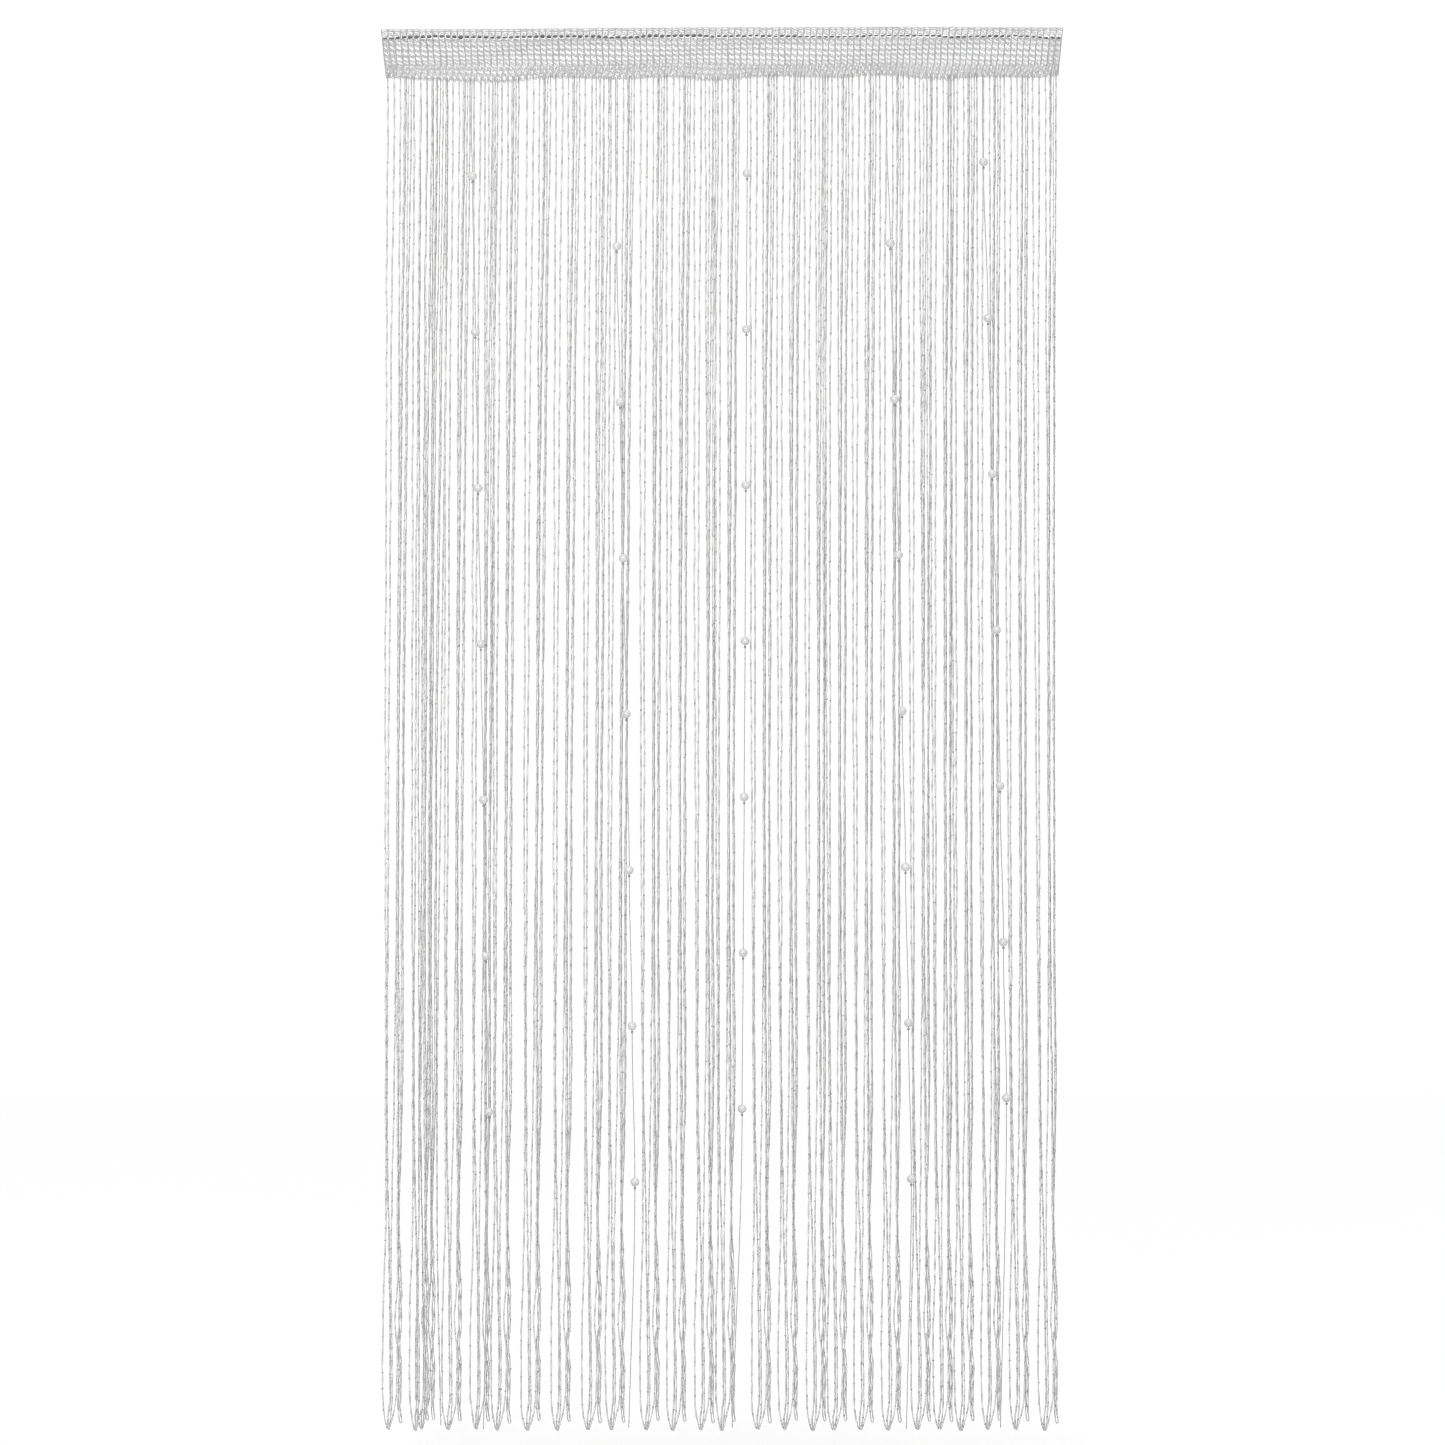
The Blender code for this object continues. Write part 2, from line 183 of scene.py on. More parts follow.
# Pillars of chain stitches, thin above the seam. In the dense foot their strands spread into a lattice
PILLAR_MARGIN = 1.8
PILLAR_THICKNESS = 0.85
PILLAR_WAVE = 0.6
PILLAR_WAVE_PITCHES = (5.0, 8.0)
PILLAR_CROSSING = 0.25
PILLAR_THIN_TO = (12.0, 20.0)
PILLAR_THIN = 0.55
CHAIN_STEP = 2.4
CHAIN_SWING = 0.65
LATTICE_SWING = 1.0
LATTICE_SLANT = 0.62
LATTICE_COUNTER_SLANT = -0.2
LAYER_SHIFT = 0.3
DENSE_LAYER_SHIFT = 0.6

# Where the two layers meet at the top edge
CROWN_DROP = 1.1
CROWN_HALF_DEPTH = 0.3
HIGHEST_DROP = 0.8

# Upright zigzags at both ends of the heading
SELVEDGE_INSETS = (1.5, 6.0, 10.5, 15.5)
SELVEDGE_FROM = 13.0
SELVEDGE_STEP = 2.1
SELVEDGE_THICKNESS = 0.9

# The rings of a net yarn are turned at random, by up to this angle
MOST_TURN = 1.5

# The stitched line: its drop along the heading, and how thick its stitches show
STITCHING = table(
    "x drop thickness",
    (-486.0, 16.4, 0.6),
    (-472.0, 16.2, 0.8),
    (-455.0, 14.8, 1.0),
    (-404.0, 13.2, 1.1),
    (-370.0, 14.1, 1.0),
    (-319.0, 15.1, 0.9),
    (-285.0, 13.9, 1.0),
    (-182.0, 13.2, 1.0),
    (-165.0, 15.0, 1.0),
    (-131.0, 14.9, 1.0),
    (-97.0, 12.5, 1.1),
    (-45.0, 12.2, 1.0),
    (6.0, 13.3, 0.75),
    (40.0, 12.6, 0.6),
    (168.0, 13.6, 0.5),
    (225.0, 12.4, 0.55),
    (296.0, 12.4, 0.6),
    (330.0, 14.0, 0.85),
    (381.0, 13.0, 0.65),
    (433.0, 12.9, 0.65),
    (467.0, 15.5, 0.85),
    (486.0, 15.6, 0.7),
)

# One stitch of the seam: places along it, its thickness there, and how far it stands in from the net. Its
# thin ends are painted darker, as shade
STITCH_ALONG = np.array([-2.9, -2.4, -1.2, 1.2, 2.4, 2.9])
STITCH_THICKNESS = np.array([0.35, 0.8, 1.0, 1.0, 0.8, 0.35])
STITCH_DIP = np.array([0.25, -0.25, -0.6, -0.6, -0.25, 0.25])

# The groups of strings: where each hangs from, and where its looped tip ends
GROUPS = table(
    "top tip",
    (-475.7, -475.6),
    (-438.2, -437.0),
    (-429.2, -428.8),
    (-392.0, -390.6),
    (-352.7, -350.6),
    (-322.6, -320.7),
    (-277.6, -278.0),
    (-236.3, -235.4),
    (-194.5, -191.6),
    (-158.3, -158.0),
    (-115.7, -108.6),
    (-78.4, -70.9),
    (-39.1, -30.9),
    (-9.3, -1.0),
    (40.6, 50.1),
    (78.2, 88.3),
    (117.3, 128.3),
    (147.0, 158.2),
    (185.5, 195.9),
    (224.6, 235.3),
    (265.5, 277.4),
    (296.7, 308.8),
    (325.7, 339.2),
    (362.7, 377.4),
    (402.0, 417.4),
    (442.1, 458.5),
)

# A group's line runs straight between these drops, and ends beside the tip
LINE_TOP_DROP = 90.0
LINE_FOOT_DROP = 1954.0
TIP_BESIDE_LINE = 7.0

# How far each string of a group stands right of the group's own line, from its root to its tip
STATIONS = table(
    "drop a b c d e f g",
    (66.0, 0.0, 9.4, 18.1, 24.2, 26.3, 29.6, 33.5),
    (118.0, 0.0, 9.4, 18.1, 24.3, 26.0, 29.6, 33.5),
    (390.0, -0.4, 6.8, 17.5, 21.6, 23.3, 28.0, 30.3),
    (600.0, -0.4, 6.0, 17.7, 19.7, 21.4, 26.9, 28.8),
    (815.0, -0.4, 5.3, 17.5, 18.9, 20.4, 25.9, 27.6),
    (1245.0, 0.9, 4.4, 16.6, 17.9, 19.3, 24.0, 25.8),
    (1525.0, 2.4, 4.2, 14.2, 19.2, 21.0, 24.3, 26.1),
    (1735.0, 2.3, 7.6, 11.2, 19.9, 21.4, 22.1, 22.3),
    (1800.0, 0.4, 8.8, 11.0, 19.4, 22.9, 24.5, 24.5),
    (1840.0, -0.7, 9.2, 11.6, 16.8, 21.8, 24.2, 25.0),
    (1884.0, -1.1, 9.7, 12.4, 20.3, 21.4, 22.8, 24.0),
    (1955.0, -0.6, 10.0, 12.9, 19.4, 22.4, 23.4, 24.4),
)

# Where strings bunch under the heading: how far each stands aside there, by its group's number
BUNCHED = dict(c=-2.5, d=-3.2, f=-3.0)
NUDGES = {1: dict(d=1.6, e=-0.5, f=2.4, g=-1.5), 2: dict(e=2.2, f=2.4, g=2.8)}
BUNCHED_GROUPS = range(4, 24, 4)
NUDGES.update((index, BUNCHED) for index in BUNCHED_GROUPS)
NUDGE_FADE_DROP = 900.0

# Lanes and root rows keep the strings of a group apart from front to back
LANE = 2.2
ROOT_ROW = 1.155
LANES = dict(a=0, b=1, c=-1, d=-2, e=0, f=-1, g=1)
ROOT_ROWS = dict(a=0, b=0, c=-1, d=-1, e=0, f=-1, g=0)
BACK_GROUP = 2
BACK_GROUP_LANES = 4
BACK_GROUP_ROOT_ROW = 1

# A string starts up in the foot, leaves it within a few millimetres, and strays from its line in slow waves
ROOT_IN_FOOT = 6.5
ROOT_CLEAR = 8.0
DROP_STEP = 5.0
DRIFT_LENGTHS = (130.0, 290.0, 620.0)
DRIFT_FADE = (75.0, 135.0, 1875.0, 1955.0)
DRIFT_ACROSS = 0.35
DRIFT_DEEP = 0.18

# The yarns of a group aren't alike: shares of the yarn's thickness
OUTER_LOOP = 1.1
INNER_LOOP = 1.0
TWISTED_LOOP = 0.9
SINGLE_END = 0.95
BACK_GROUP_SHARE = 0.85

# Knobs of a nubby yarn, as shares of its thickness, and how much painted shade darkens them
KNOB_HALF_LENGTH = 1.5
KNOB_SIZES = (1.15, 1.4)
KNOB_PAINTED_SHADES = (0.45, 0.85)
BETWEEN_KNOBS = (0.93, 1.13)
RING_TURN = 0.7

# Close to a tip loop's lowest point the yarn has no knobs and its rings stand closer
CLOSE_TO_TIP = 6.5
CLOSE_RING_STEP = 1.3
TURN_BELOW_ENDS = 2.4

# The closed loops at the tips: offset from the line, drop, and depth from the lane in front of the loop
LOOP_A_B = table(
    "offset drop y",
    (0.4, 1969.0, 0.0),
    (2.1, 1981.0, 0.1),
    (4.4, 1991.0, 0.3),
    (5.9, 1995.7, 0.7),
    (6.9, 1997.0, 1.2),
    (7.4, 1995.3, 1.8),
    (7.0, 1989.0, 2.1),
    (6.9, 1980.0, 2.2),
    (8.6, 1969.0, 2.2),
)
LOOP_C_D = table(
    "offset drop y",
    (12.0, 1972.0, 2.2),
    (10.8, 1983.0, 2.1),
    (8.9, 1992.0, 1.8),
    (8.1, 1996.4, 1.4),
    (8.5, 1997.4, 0.9),
    (9.4, 1995.6, 0.4),
    (12.3, 1986.5, 0.1),
    (16.0, 1973.0, 0.0),
)

# The last stretch of strings e, f and g is twisted into one bundle
BUNDLE = table(
    "drop offset",
    (1690.0, 22.8),
    (1735.0, 22.2),
    (1815.0, 24.4),
    (1850.0, 24.0),
    (1880.0, 22.2),
    (1908.0, 24.6),
    (1961.0, 23.2),
    (1990.0, 25.8),
)
TWIST_FROM = 1690.0
TWIST_FULL = 1750.0
TWIST_PITCH = 150.0
TWIST_RADIUS = 2.1
TWIST_END = 1986.0
BUNDLE_Y = -0.3
BUNDLE_PHASES = dict(e=150.0, f=30.0, g=270.0)
BUNDLE_ENDS = dict(e=1986.0, f=1986.0, g=1979.0)

# The string that hangs by itself beside the third group
LONE_STRING = table(
    "drop x",
    (72.0, -391.0),
    (118.0, -391.0),
    (900.0, -399.0),
    (1815.0, -404.5),
    (1994.0, -400.6),
)
LONE_LANE = 4

# Where the 26 groups are parted into four pieces
STRING_PIECES = (0, 7, 14, 20, 26)

# Strings of pearls: where each starts and ends across the curtain
BEAD_STRINGS = table(
    "root end",
    (-355.9, -338.8),
    (-151.5, -132.5),
    (36.3, 14.2),
    (234.0, 262.1),
    (370.5, 395.7),
)
PEARLS_PER_STRING = 7
BEAD_STRING_STEP = 4.0
BEAD_STRING_IN_FOOT = 5.0
BEAD_STRING_FORWARD_DROP = 165.0
BEAD_STRING_END_DROP = 1994.0
KNOT_BELOW_PEARL = 8.6
KNOT_TURNS = 2.6
KNOT_HEIGHT = 3.4
# How much painted shade darkens each knot, for the shade under its pearl
KNOT_PAINTED_SHADE = 0.6
PEARL_ROUGHNESS = 0.32
PEARL_TILT = 0.035

# Stage: the middle of the camera's view, and the soft light's size, place and aim, all in metres
VIEW_X = 0.0007
VIEW_Z = -0.990
FLOOR_SIZE = 14.0
FLOOR_DARK = "#DADADA"
FLOOR_LIGHT = "#DEDEDE"
FLOOR_GLOW = 0.015
SOFTBOX_SIZE = (1.1, 0.6)
SOFTBOX_PLACE = (-0.5, -2.4, -0.1)
SOFTBOX_AIM = (0.0, 0.0, -1.3)


def listed(rows, column):
    """One column of a table."""
    return [getattr(row, column) for row in rows]


def half_width(drop):
    """Half the heading's width at a drop: its ends slant in towards the foot."""
    return TOP_HALF_WIDTH - (TOP_HALF_WIDTH - FOOT_HALF_WIDTH) * drop / FOOT_DROP


def within_ends(column):
    """Places along the heading, kept between its two ends."""
    return np.clip(column, -TOP_HALF_WIDTH, TOP_HALF_WIDTH)


def lengths_along(points):
    """How far along a path each of its points is."""
    return np.concatenate([[0.0], np.cumsum(np.linalg.norm(np.diff(points, axis=0), axis=1))])


def share_between(at, stations):
    """The station before each place, how far the next one is, and the place's share of the way there."""
    stations = np.asarray(stations, float)
    index = np.clip(np.searchsorted(stations, at) - 1, 0, len(stations) - 2)
    span = stations[index + 1] - stations[index]
    return index, span, np.clip((at - stations[index]) / span, 0.0, 1.0)


def eased(at, stations, values):
    """Values at some places, level at each station and eased between them."""
    values = np.asarray(values, float)
    index, _, share = share_between(at, stations)
    return values[index] + (values[index + 1] - values[index]) * (1.0 - np.cos(math.pi * share)) / 2.0


def smooth_through(at, stations, values):
    """Values at some places on a smooth curve through a few stations."""
    values = np.asarray(values, float)
    slopes = np.gradient(values, stations)
    index, span, share = share_between(at, stations)
    rest = 1.0 - share
    near = (1.0 + 2.0 * share) * rest ** 2 * values[index]
    far = (1.0 + 2.0 * rest) * share ** 2 * values[index + 1]
    bend = share * rest * span * (rest * slopes[index] - share * slopes[index + 1])
    return near + far + bend


def rise_at(x):
    """How far the top edge rises at x."""
    return eased(x, listed(EDGES, "x"), listed(EDGES, "rise"))


def foot_at(x):
    """The drop of the heading's wavy foot at x."""
    return eased(x, listed(EDGES, "x"), listed(EDGES, "foot"))


def half_depth_at(drop):
    """Half the pocket's depth at a drop."""
    return eased(drop, listed(SECTION, "drop"), listed(SECTION, "half_depth"))


def on_heading(column, drop, y):
    """Points of the heading: column is x as it is at the top edge."""
    x = column * half_width(drop) / TOP_HALF_WIDTH
    lift = rise_at(x) * np.clip(1.0 - drop / FOOT_DROP, 0.0, 1.0)
    return np.stack([x, y + 0.0 * x, lift - drop], axis=-1)


# A tube: its centre points, a radius, a turn and a darkening for each (painted shade at knobs, knots and
# stitch ends, random tone on the net), and a direction that is never along it
Tube = namedtuple("Tube", "points radii turns across density", defaults=(None,))
ALONG_X = (1.0, 0.0, 0.0)
ALONG_Y = (0.0, 1.0, 0.0)
ALONG_Z = (0.0, 0.0, 1.0)


def unit(vectors):
    """Vectors of length one."""
    return vectors / np.maximum(np.linalg.norm(vectors, axis=-1, keepdims=True), 1e-12)


def tube_rings(tube, sides):
    """A tube's points, ring by ring."""
    forward = unit(np.gradient(tube.points, axis=0))
    side = unit(np.cross(forward, tube.across))
    up = np.cross(forward, side)
    angles = tube.turns[:, None] + 2.0 * math.pi * np.arange(sides) / sides
    spread = np.cos(angles)[..., None] * side[:, None, :] + np.sin(angles)[..., None] * up[:, None, :]
    return tube.points[:, None, :] + tube.radii[:, None, None] * spread


def joined_tubes(name, tubes, sides):
    """One object of many tubes. Its UV map counts round each tube, and along it in centimetres."""
    verts, corners, starts, uvs, density = [], [], [], [], []
    first_vert = 0
    first_corner = 0
    around = np.arange(sides)
    for number, tube in enumerate(tubes):
        rings = len(tube.points)
        verts.append(tube_rings(tube, sides).reshape(-1, 3))
        density.append(np.repeat(np.zeros(rings) if tube.density is None else tube.density, sides))
        along = lengths_along(tube.points) / UV_UNIT
        ring = np.arange(rings - 1)[:, None] * sides + first_vert
        following = (around + 1) % sides
        quads = np.stack(
            [ring + around, ring + following, ring + sides + following, ring + sides + around], axis=-1
        )
        low = np.broadcast_to(along[:-1, None], (rings - 1, sides))
        high = np.broadcast_to(along[1:, None], (rings - 1, sides))
        left = np.broadcast_to(number + around / sides, (rings - 1, sides))
        right = left + 1.0 / sides
        quad_uvs = np.stack(
            [np.stack([left, low], -1), np.stack([right, low], -1),
             np.stack([right, high], -1), np.stack([left, high], -1)], axis=2
        )
        start_cap = first_vert + around[::-1]
        end_cap = first_vert + (rings - 1) * sides + around
        corners += [quads.reshape(-1), start_cap, end_cap]
        uvs += [quad_uvs.reshape(-1, 2), np.full((sides, 2), (number, along[0])),
                np.full((sides, 2), (number, along[-1]))]
        quad_count = (rings - 1) * sides
        starts.append(first_corner + 4 * np.arange(quad_count))
        starts.append(first_corner + 4 * quad_count + sides * np.arange(2))
        first_corner += 4 * quad_count + 2 * sides
        first_vert += rings * sides
    verts = np.concatenate(verts) * MM
    corners = np.concatenate(corners)
    starts = np.concatenate(starts)
    mesh = bpy.data.meshes.new(name)
    mesh.vertices.add(len(verts))
    mesh.vertices.foreach_set("co", verts.astype(np.float32).reshape(-1))
    mesh.loops.add(len(corners))
    mesh.loops.foreach_set("vertex_index", corners.astype(np.int32))
    mesh.polygons.add(len(starts))
    mesh.polygons.foreach_set("loop_start", starts.astype(np.int32))
    uv_map = mesh.uv_layers.new(name="Along the yarn")
    uv_map.data.foreach_set("uv", np.concatenate(uvs).astype(np.float32).reshape(-1))
    # Painted shade and random tone: how far each point's colour is mixed towards a dark tone
    tone_and_shade_layer = mesh.attributes.new("Density", "FLOAT", "POINT")
    tone_and_shade_layer.data.foreach_set("value", np.concatenate(density).astype(np.float32))
    mesh.update(calc_edges=True)
    mesh.validate()
    mesh.shade_smooth()
    item = bpy.data.objects.new(name, mesh)
    bpy.context.scene.collection.objects.link(item)
    return item


def finish_piece(item, material, nodes=()):
    """Gives a finished piece its material and its body, and hides the imported nodes that it stands for."""
    item.data.materials.clear()
    item.data.materials.append(material)
    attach(item, BODY)
    if nodes:
        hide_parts(*nodes)
    return item


# Knitted heading

def column_places(columns):
    """Where the pillars stand, from end to end."""
    return (np.arange(columns + 1) / columns * 2.0 - 1.0) * TOP_HALF_WIDTH


def pillar_sway(columns, rng):
    """How far each pillar strays sideways: a slow lean that neighbours share, and its own part."""
    lean = np.convolve(rng.normal(0.0, 1.0, columns + 9), np.ones(9) / 9.0, mode="valid")
    return lean + rng.normal(0.0, 0.2, columns + 1)


def make_pillars(places, sway, layer, radius, rng):
    """Chain-stitched pillars: two strands that cross at every stitch, wider apart in the dense foot."""
    tubes = []
    for place, lean in zip(places, sway):
        foot = float(foot_at(place)) - PILLAR_MARGIN
        drops = np.append(np.arange(foot, CROWN_DROP + 1.0, -CHAIN_STEP), CROWN_DROP)
        stitch = np.where(np.arange(len(drops)) % 2 == 0, 1.0, -1.0)
        wave = PILLAR_WAVE * np.sin(drops / rng.uniform(*PILLAR_WAVE_PITCHES) + rng.uniform(0.0, FULL_TURN))
        opening = np.clip((drops - DENSE_FROM + 3.0) / 5.0, 0.0, 1.0)
        shift = LAYER_SHIFT + (DENSE_LAYER_SHIFT - LAYER_SHIFT) * opening
        for strand in (-1.0, 1.0):
            swing = CHAIN_SWING + (LATTICE_SWING - CHAIN_SWING) * opening
            swing = swing * rng.uniform(0.7, 1.3, len(drops))
            column = place + lean * np.sin(np.pi * drops / FOOT_DROP) + wave + layer * shift
            column = column + 0.3 * opening * rng.normal(0.0, 1.0, len(drops))
            slant = LATTICE_SLANT if strand > 0.0 else LATTICE_COUNTER_SLANT
            column = column + strand * stitch * swing + slant * np.maximum(drops - DENSE_FROM, 0.0)
            column = within_ends(column)
            near = PILLAR_CROSSING * strand * np.where(np.arange(len(drops)) % 4 < 2, 1.0, -1.0)
            y = layer * (half_depth_at(drops) + near + rng.normal(0.0, 0.12, len(drops)))
            y[-1] = layer * CROWN_HALF_DEPTH
            radii = radius * rng.uniform(0.8, 1.1, len(drops))
            radii = radii * np.interp(drops, PILLAR_THIN_TO, (PILLAR_THIN, 1.0))
            turns = rng.uniform(0.0, MOST_TURN, len(drops))
            density = rng.uniform(0.0, 0.4, len(drops))
            tubes.append(Tube(on_heading(column, drops, y), radii, turns, ALONG_X, density))
    return tubes


def in_quarters(values):
    """The number of each quarter of a cell, and values that are given at the pillars, worked out for each."""
    cells = np.arange(len(values))
    quarter = np.arange(4 * cells[-1] + 1)
    return quarter, np.interp(quarter / 4.0, cells, values)


def make_bar(bar, places, sway, layer, radius, rng):
    """A yarn laid across one layer, tucked behind each pillar and arching between them."""
    quarter, column = in_quarters(places)
    lean = in_quarters(sway)[1]
    arches = bar.arch * rng.uniform(-0.6, 1.4, len(places))
    hump = np.sin(np.pi * (quarter % 4) / 4.0) * arches[quarter // 4]
    drop = bar.drop + 0.35 * layer - hump + rng.normal(0.0, 0.14, len(quarter))
    drop = np.maximum(drop, HIGHEST_DROP)
    column = within_ends(column + lean * np.sin(np.pi * bar.drop / FOOT_DROP))
    tuck = np.where(quarter % 4 == 0, 0.45, -0.15)
    y = layer * np.maximum(half_depth_at(drop) - tuck, CROWN_HALF_DEPTH)
    radii = radius * bar.thickness * rng.uniform(0.82, 1.15, len(quarter))
    return Tube(on_heading(column, drop, y), radii, rng.uniform(0.0, MOST_TURN, len(quarter)), ALONG_Y)


def row_wave(x, drop):
    """How far a row of the net strays up and down along the heading."""
    wave = np.sin(2.0 * math.pi * x / ROW_WAVE_LENGTH + drop / ROW_WAVE_TURN)
    return ROW_WAVE * wave * np.interp(drop, ROW_WAVE_FADE, (0.0, 1.0))


def make_inlay(places, drop_at, slant, slide, layer, radius, rng):
    """A yarn that slants down from each cell's left end to its right and then climbs back."""
    corner = np.arange(3 * len(places) + 1) - 3
    column = np.interp(corner // 3 + INLAY_ACROSS[corner % 3] + slide, np.arange(len(places)), places)
    column = within_ends(column + rng.normal(0.0, 0.28, len(corner)))
    drop = drop_at(column)
    drop = drop + row_wave(column, drop) + slant * INLAY_FALL[corner % 3] + rng.normal(0.0, 0.3, len(corner))
    inward = INLAY_INWARD - rng.normal(0.0, 0.2, len(corner))
    y = layer * np.maximum(half_depth_at(drop) - inward, CROWN_HALF_DEPTH)
    radii = radius * rng.uniform(0.8, 1.15, len(corner))
    turns = rng.uniform(0.0, MOST_TURN, len(corner))
    return Tube(on_heading(column, drop, y), radii, turns, ALONG_Y, rng.uniform(0.0, 0.3, len(corner)))


def make_zigzag(places, row_drop, height, layer, radius, rng):
    """A yarn that zigzags across one layer, with four bends to a cell."""
    quarter, column = in_quarters(places)
    column = within_ends(column + rng.normal(0.0, 0.3, len(quarter)))
    swing = np.where(quarter % 2 == 0, 1.0, -1.0) * rng.uniform(0.6, 1.25, len(quarter))
    drop = row_drop + row_wave(column, row_drop) + height * swing + rng.normal(0.0, 0.25, len(quarter))
    y = layer * (half_depth_at(drop) + rng.normal(0.0, 0.25, len(quarter)))
    radii = radius * rng.uniform(0.8, 1.2, len(quarter))
    return Tube(on_heading(column, drop, y), radii, rng.uniform(0.0, MOST_TURN, len(quarter)), ALONG_Y)


def make_selvedges(layer, radius, rng):
    """Upright zigzags that thicken the last two centimetres at both ends."""
    tubes = []
    for end in (-1.0, 1.0):
        for inset in SELVEDGE_INSETS:
            place = end * (TOP_HALF_WIDTH - inset)
            drops = np.arange(SELVEDGE_FROM, float(foot_at(place)) - 1.0, SELVEDGE_STEP)
            swing = np.where(np.arange(len(drops)) % 2 == 0, 1.0, -1.0) * rng.uniform(0.7, 2.0, len(drops))
            column = within_ends(place + swing)
            y = layer * (half_depth_at(drops) + rng.normal(0.0, 0.2, len(drops)))
            radii = radius * rng.uniform(0.8, 1.15, len(drops))
            turns = rng.uniform(0.0, MOST_TURN, len(drops))
            tubes.append(Tube(on_heading(column, drops, y), radii, turns, ALONG_Y))
    return tubes


def heading_tubes(columns, layer, radius, rng):
    """Every yarn of one layer of the heading."""
    places = column_places(columns)
    sway = pillar_sway(columns, np.random.default_rng(SWAY_SEED))
    tubes = make_pillars(places, sway, layer, PILLAR_THICKNESS * radius, rng)
    for bar in BARS:
        tubes.append(make_bar(bar, places, sway, layer, radius, rng))
    for inlay in INLAYS:
        tubes.append(make_inlay(
            places, lambda x: inlay.drop + 0.0 * x, inlay.slant, 0.0, layer, inlay.thickness * radius, rng))
    for row in FINE_ROWS:
        tubes.append(make_zigzag(places, row, FINE_SWING, layer, FINE_THICKNESS * radius, rng))
    for row in range(DENSE_ROWS):
        share = row / (DENSE_ROWS - 1.0)
        for beside in DENSE_BUNDLE:
            tubes.append(make_inlay(
                places, lambda x: DENSE_FROM + (foot_at(x) - FOOT_MARGIN - DENSE_FROM) * share + beside,
                DENSE_SLANT, (DENSE_SLIDE * row) % 1.0, layer, DENSE_THICKNESS * radius, rng))
    return tubes + make_selvedges(layer, SELVEDGE_THICKNESS * radius, rng)


def seam_tubes(columns, radius, rng):
    """Stitches of the seam: one between each two pillars, on the front and on the back."""
    places = column_places(columns)
    centres = (places[1:] + places[:-1]) / 2.0
    turns = np.full(len(STITCH_ALONG), 0.4)
    tubes = []
    for layer in (-1.0, 1.0):
        for centre in centres:
            x = within_ends(centre + STITCH_ALONG * rng.uniform(0.85, 1.05))
            drop = eased(x, listed(STITCHING, "x"), listed(STITCHING, "drop"))
            drop = drop + rise_at(x) * (1.0 - drop / FOOT_DROP)
            drop = drop + rng.normal(0.0, 0.3) + rng.normal(0.0, 0.12, len(STITCH_ALONG))
            weight = float(np.interp(centre, listed(STITCHING, "x"), listed(STITCHING, "thickness")))
            y = layer * (half_depth_at(drop) - STITCH_DIP)
            radii = radius * weight * STITCH_THICKNESS * rng.uniform(0.85, 1.15)
            # The thin ends of each stitch, where it dips into the net, are painted darker, as shade
            tubes.append(Tube(on_heading(x, drop, y), radii, turns, ALONG_Y, 1.0 - STITCH_THICKNESS))
    return tubes


# Nubby strings

def group_line(group, drop):
    """The line that a group's strings keep to, at a drop."""
    share = (drop - LINE_TOP_DROP) / (LINE_FOOT_DROP - LINE_TOP_DROP)
    return group.top + (group.tip - TIP_BESIDE_LINE - group.top) * share


def drift(drops, size, rng):
    """A slow stray of a string, nothing at its root and at its tip."""
    waves = np.zeros(len(drops))
    for length in DRIFT_LENGTHS:
        waves += rng.uniform(0.3, 1.0) * np.sin(2.0 * math.pi * drops / length + rng.uniform(0.0, FULL_TURN))
    return size * waves * np.interp(drops, DRIFT_FADE, (0.0, 1.0, 1.0, 0.0))


def hanging_points(index, group, letter, last_drop, rng):
    """One string's centre from its root in the foot down to a drop, as x, y and -drop."""
    root = float(foot_at(group.top + getattr(STATIONS[0], letter))) - ROOT_IN_FOOT
    drops = np.arange(root, last_drop, DROP_STEP)
    offsets = smooth_through(drops, listed(STATIONS, "drop"), listed(STATIONS, letter))
    behind = index == BACK_GROUP
    lane = LANE * (LANES[letter] + BACK_GROUP_LANES * behind)
    root_row = ROOT_ROW * (BACK_GROUP_ROOT_ROW if behind else ROOT_ROWS[letter])
    nudge = NUDGES.get(index, {}).get(letter, 0.0)
    offsets = offsets + nudge * np.interp(drops, [STATIONS[1].drop, NUDGE_FADE_DROP], [1.0, 0.0])
    x = group_line(group, drops) + offsets + drift(drops, DRIFT_ACROSS, rng)
    y = eased(drops, [root + ROOT_CLEAR, STATIONS[1].drop], [root_row, lane])
    y = y + drift(drops, DRIFT_DEEP, rng)
    if letter in BUNDLE_PHASES:
        middle = smooth_through(drops, listed(BUNDLE, "drop"), listed(BUNDLE, "offset"))
        share = np.clip((drops - TWIST_FROM) / (TWIST_FULL - TWIST_FROM), 0.0, 1.0)
        share = share ** 2 * (3.0 - 2.0 * share)
        angle = math.radians(BUNDLE_PHASES[letter]) + 2.0 * math.pi * (TWIST_END - drops) / TWIST_PITCH
        twisted_x = group_line(group, drops) + middle + TWIST_RADIUS * np.cos(angle)
        twisted_y = BUNDLE_Y + LANE * BACK_GROUP_LANES * behind + TWIST_RADIUS * np.sin(angle)
        x = x + (twisted_x - x) * share
        y = y + (twisted_y - y) * share
    return np.stack([x, y, -drops], axis=-1)


def fine_curve(points, step):
    """A smooth curve through a few points, sampled closely."""
    points = np.asarray(points, float)
    lengths = lengths_along(points)
    at = np.linspace(0.0, lengths[-1], max(int(lengths[-1] / step), 2) + 1)
    return np.stack([smooth_through(at, lengths, points[:, axis]) for axis in range(3)], axis=-1)


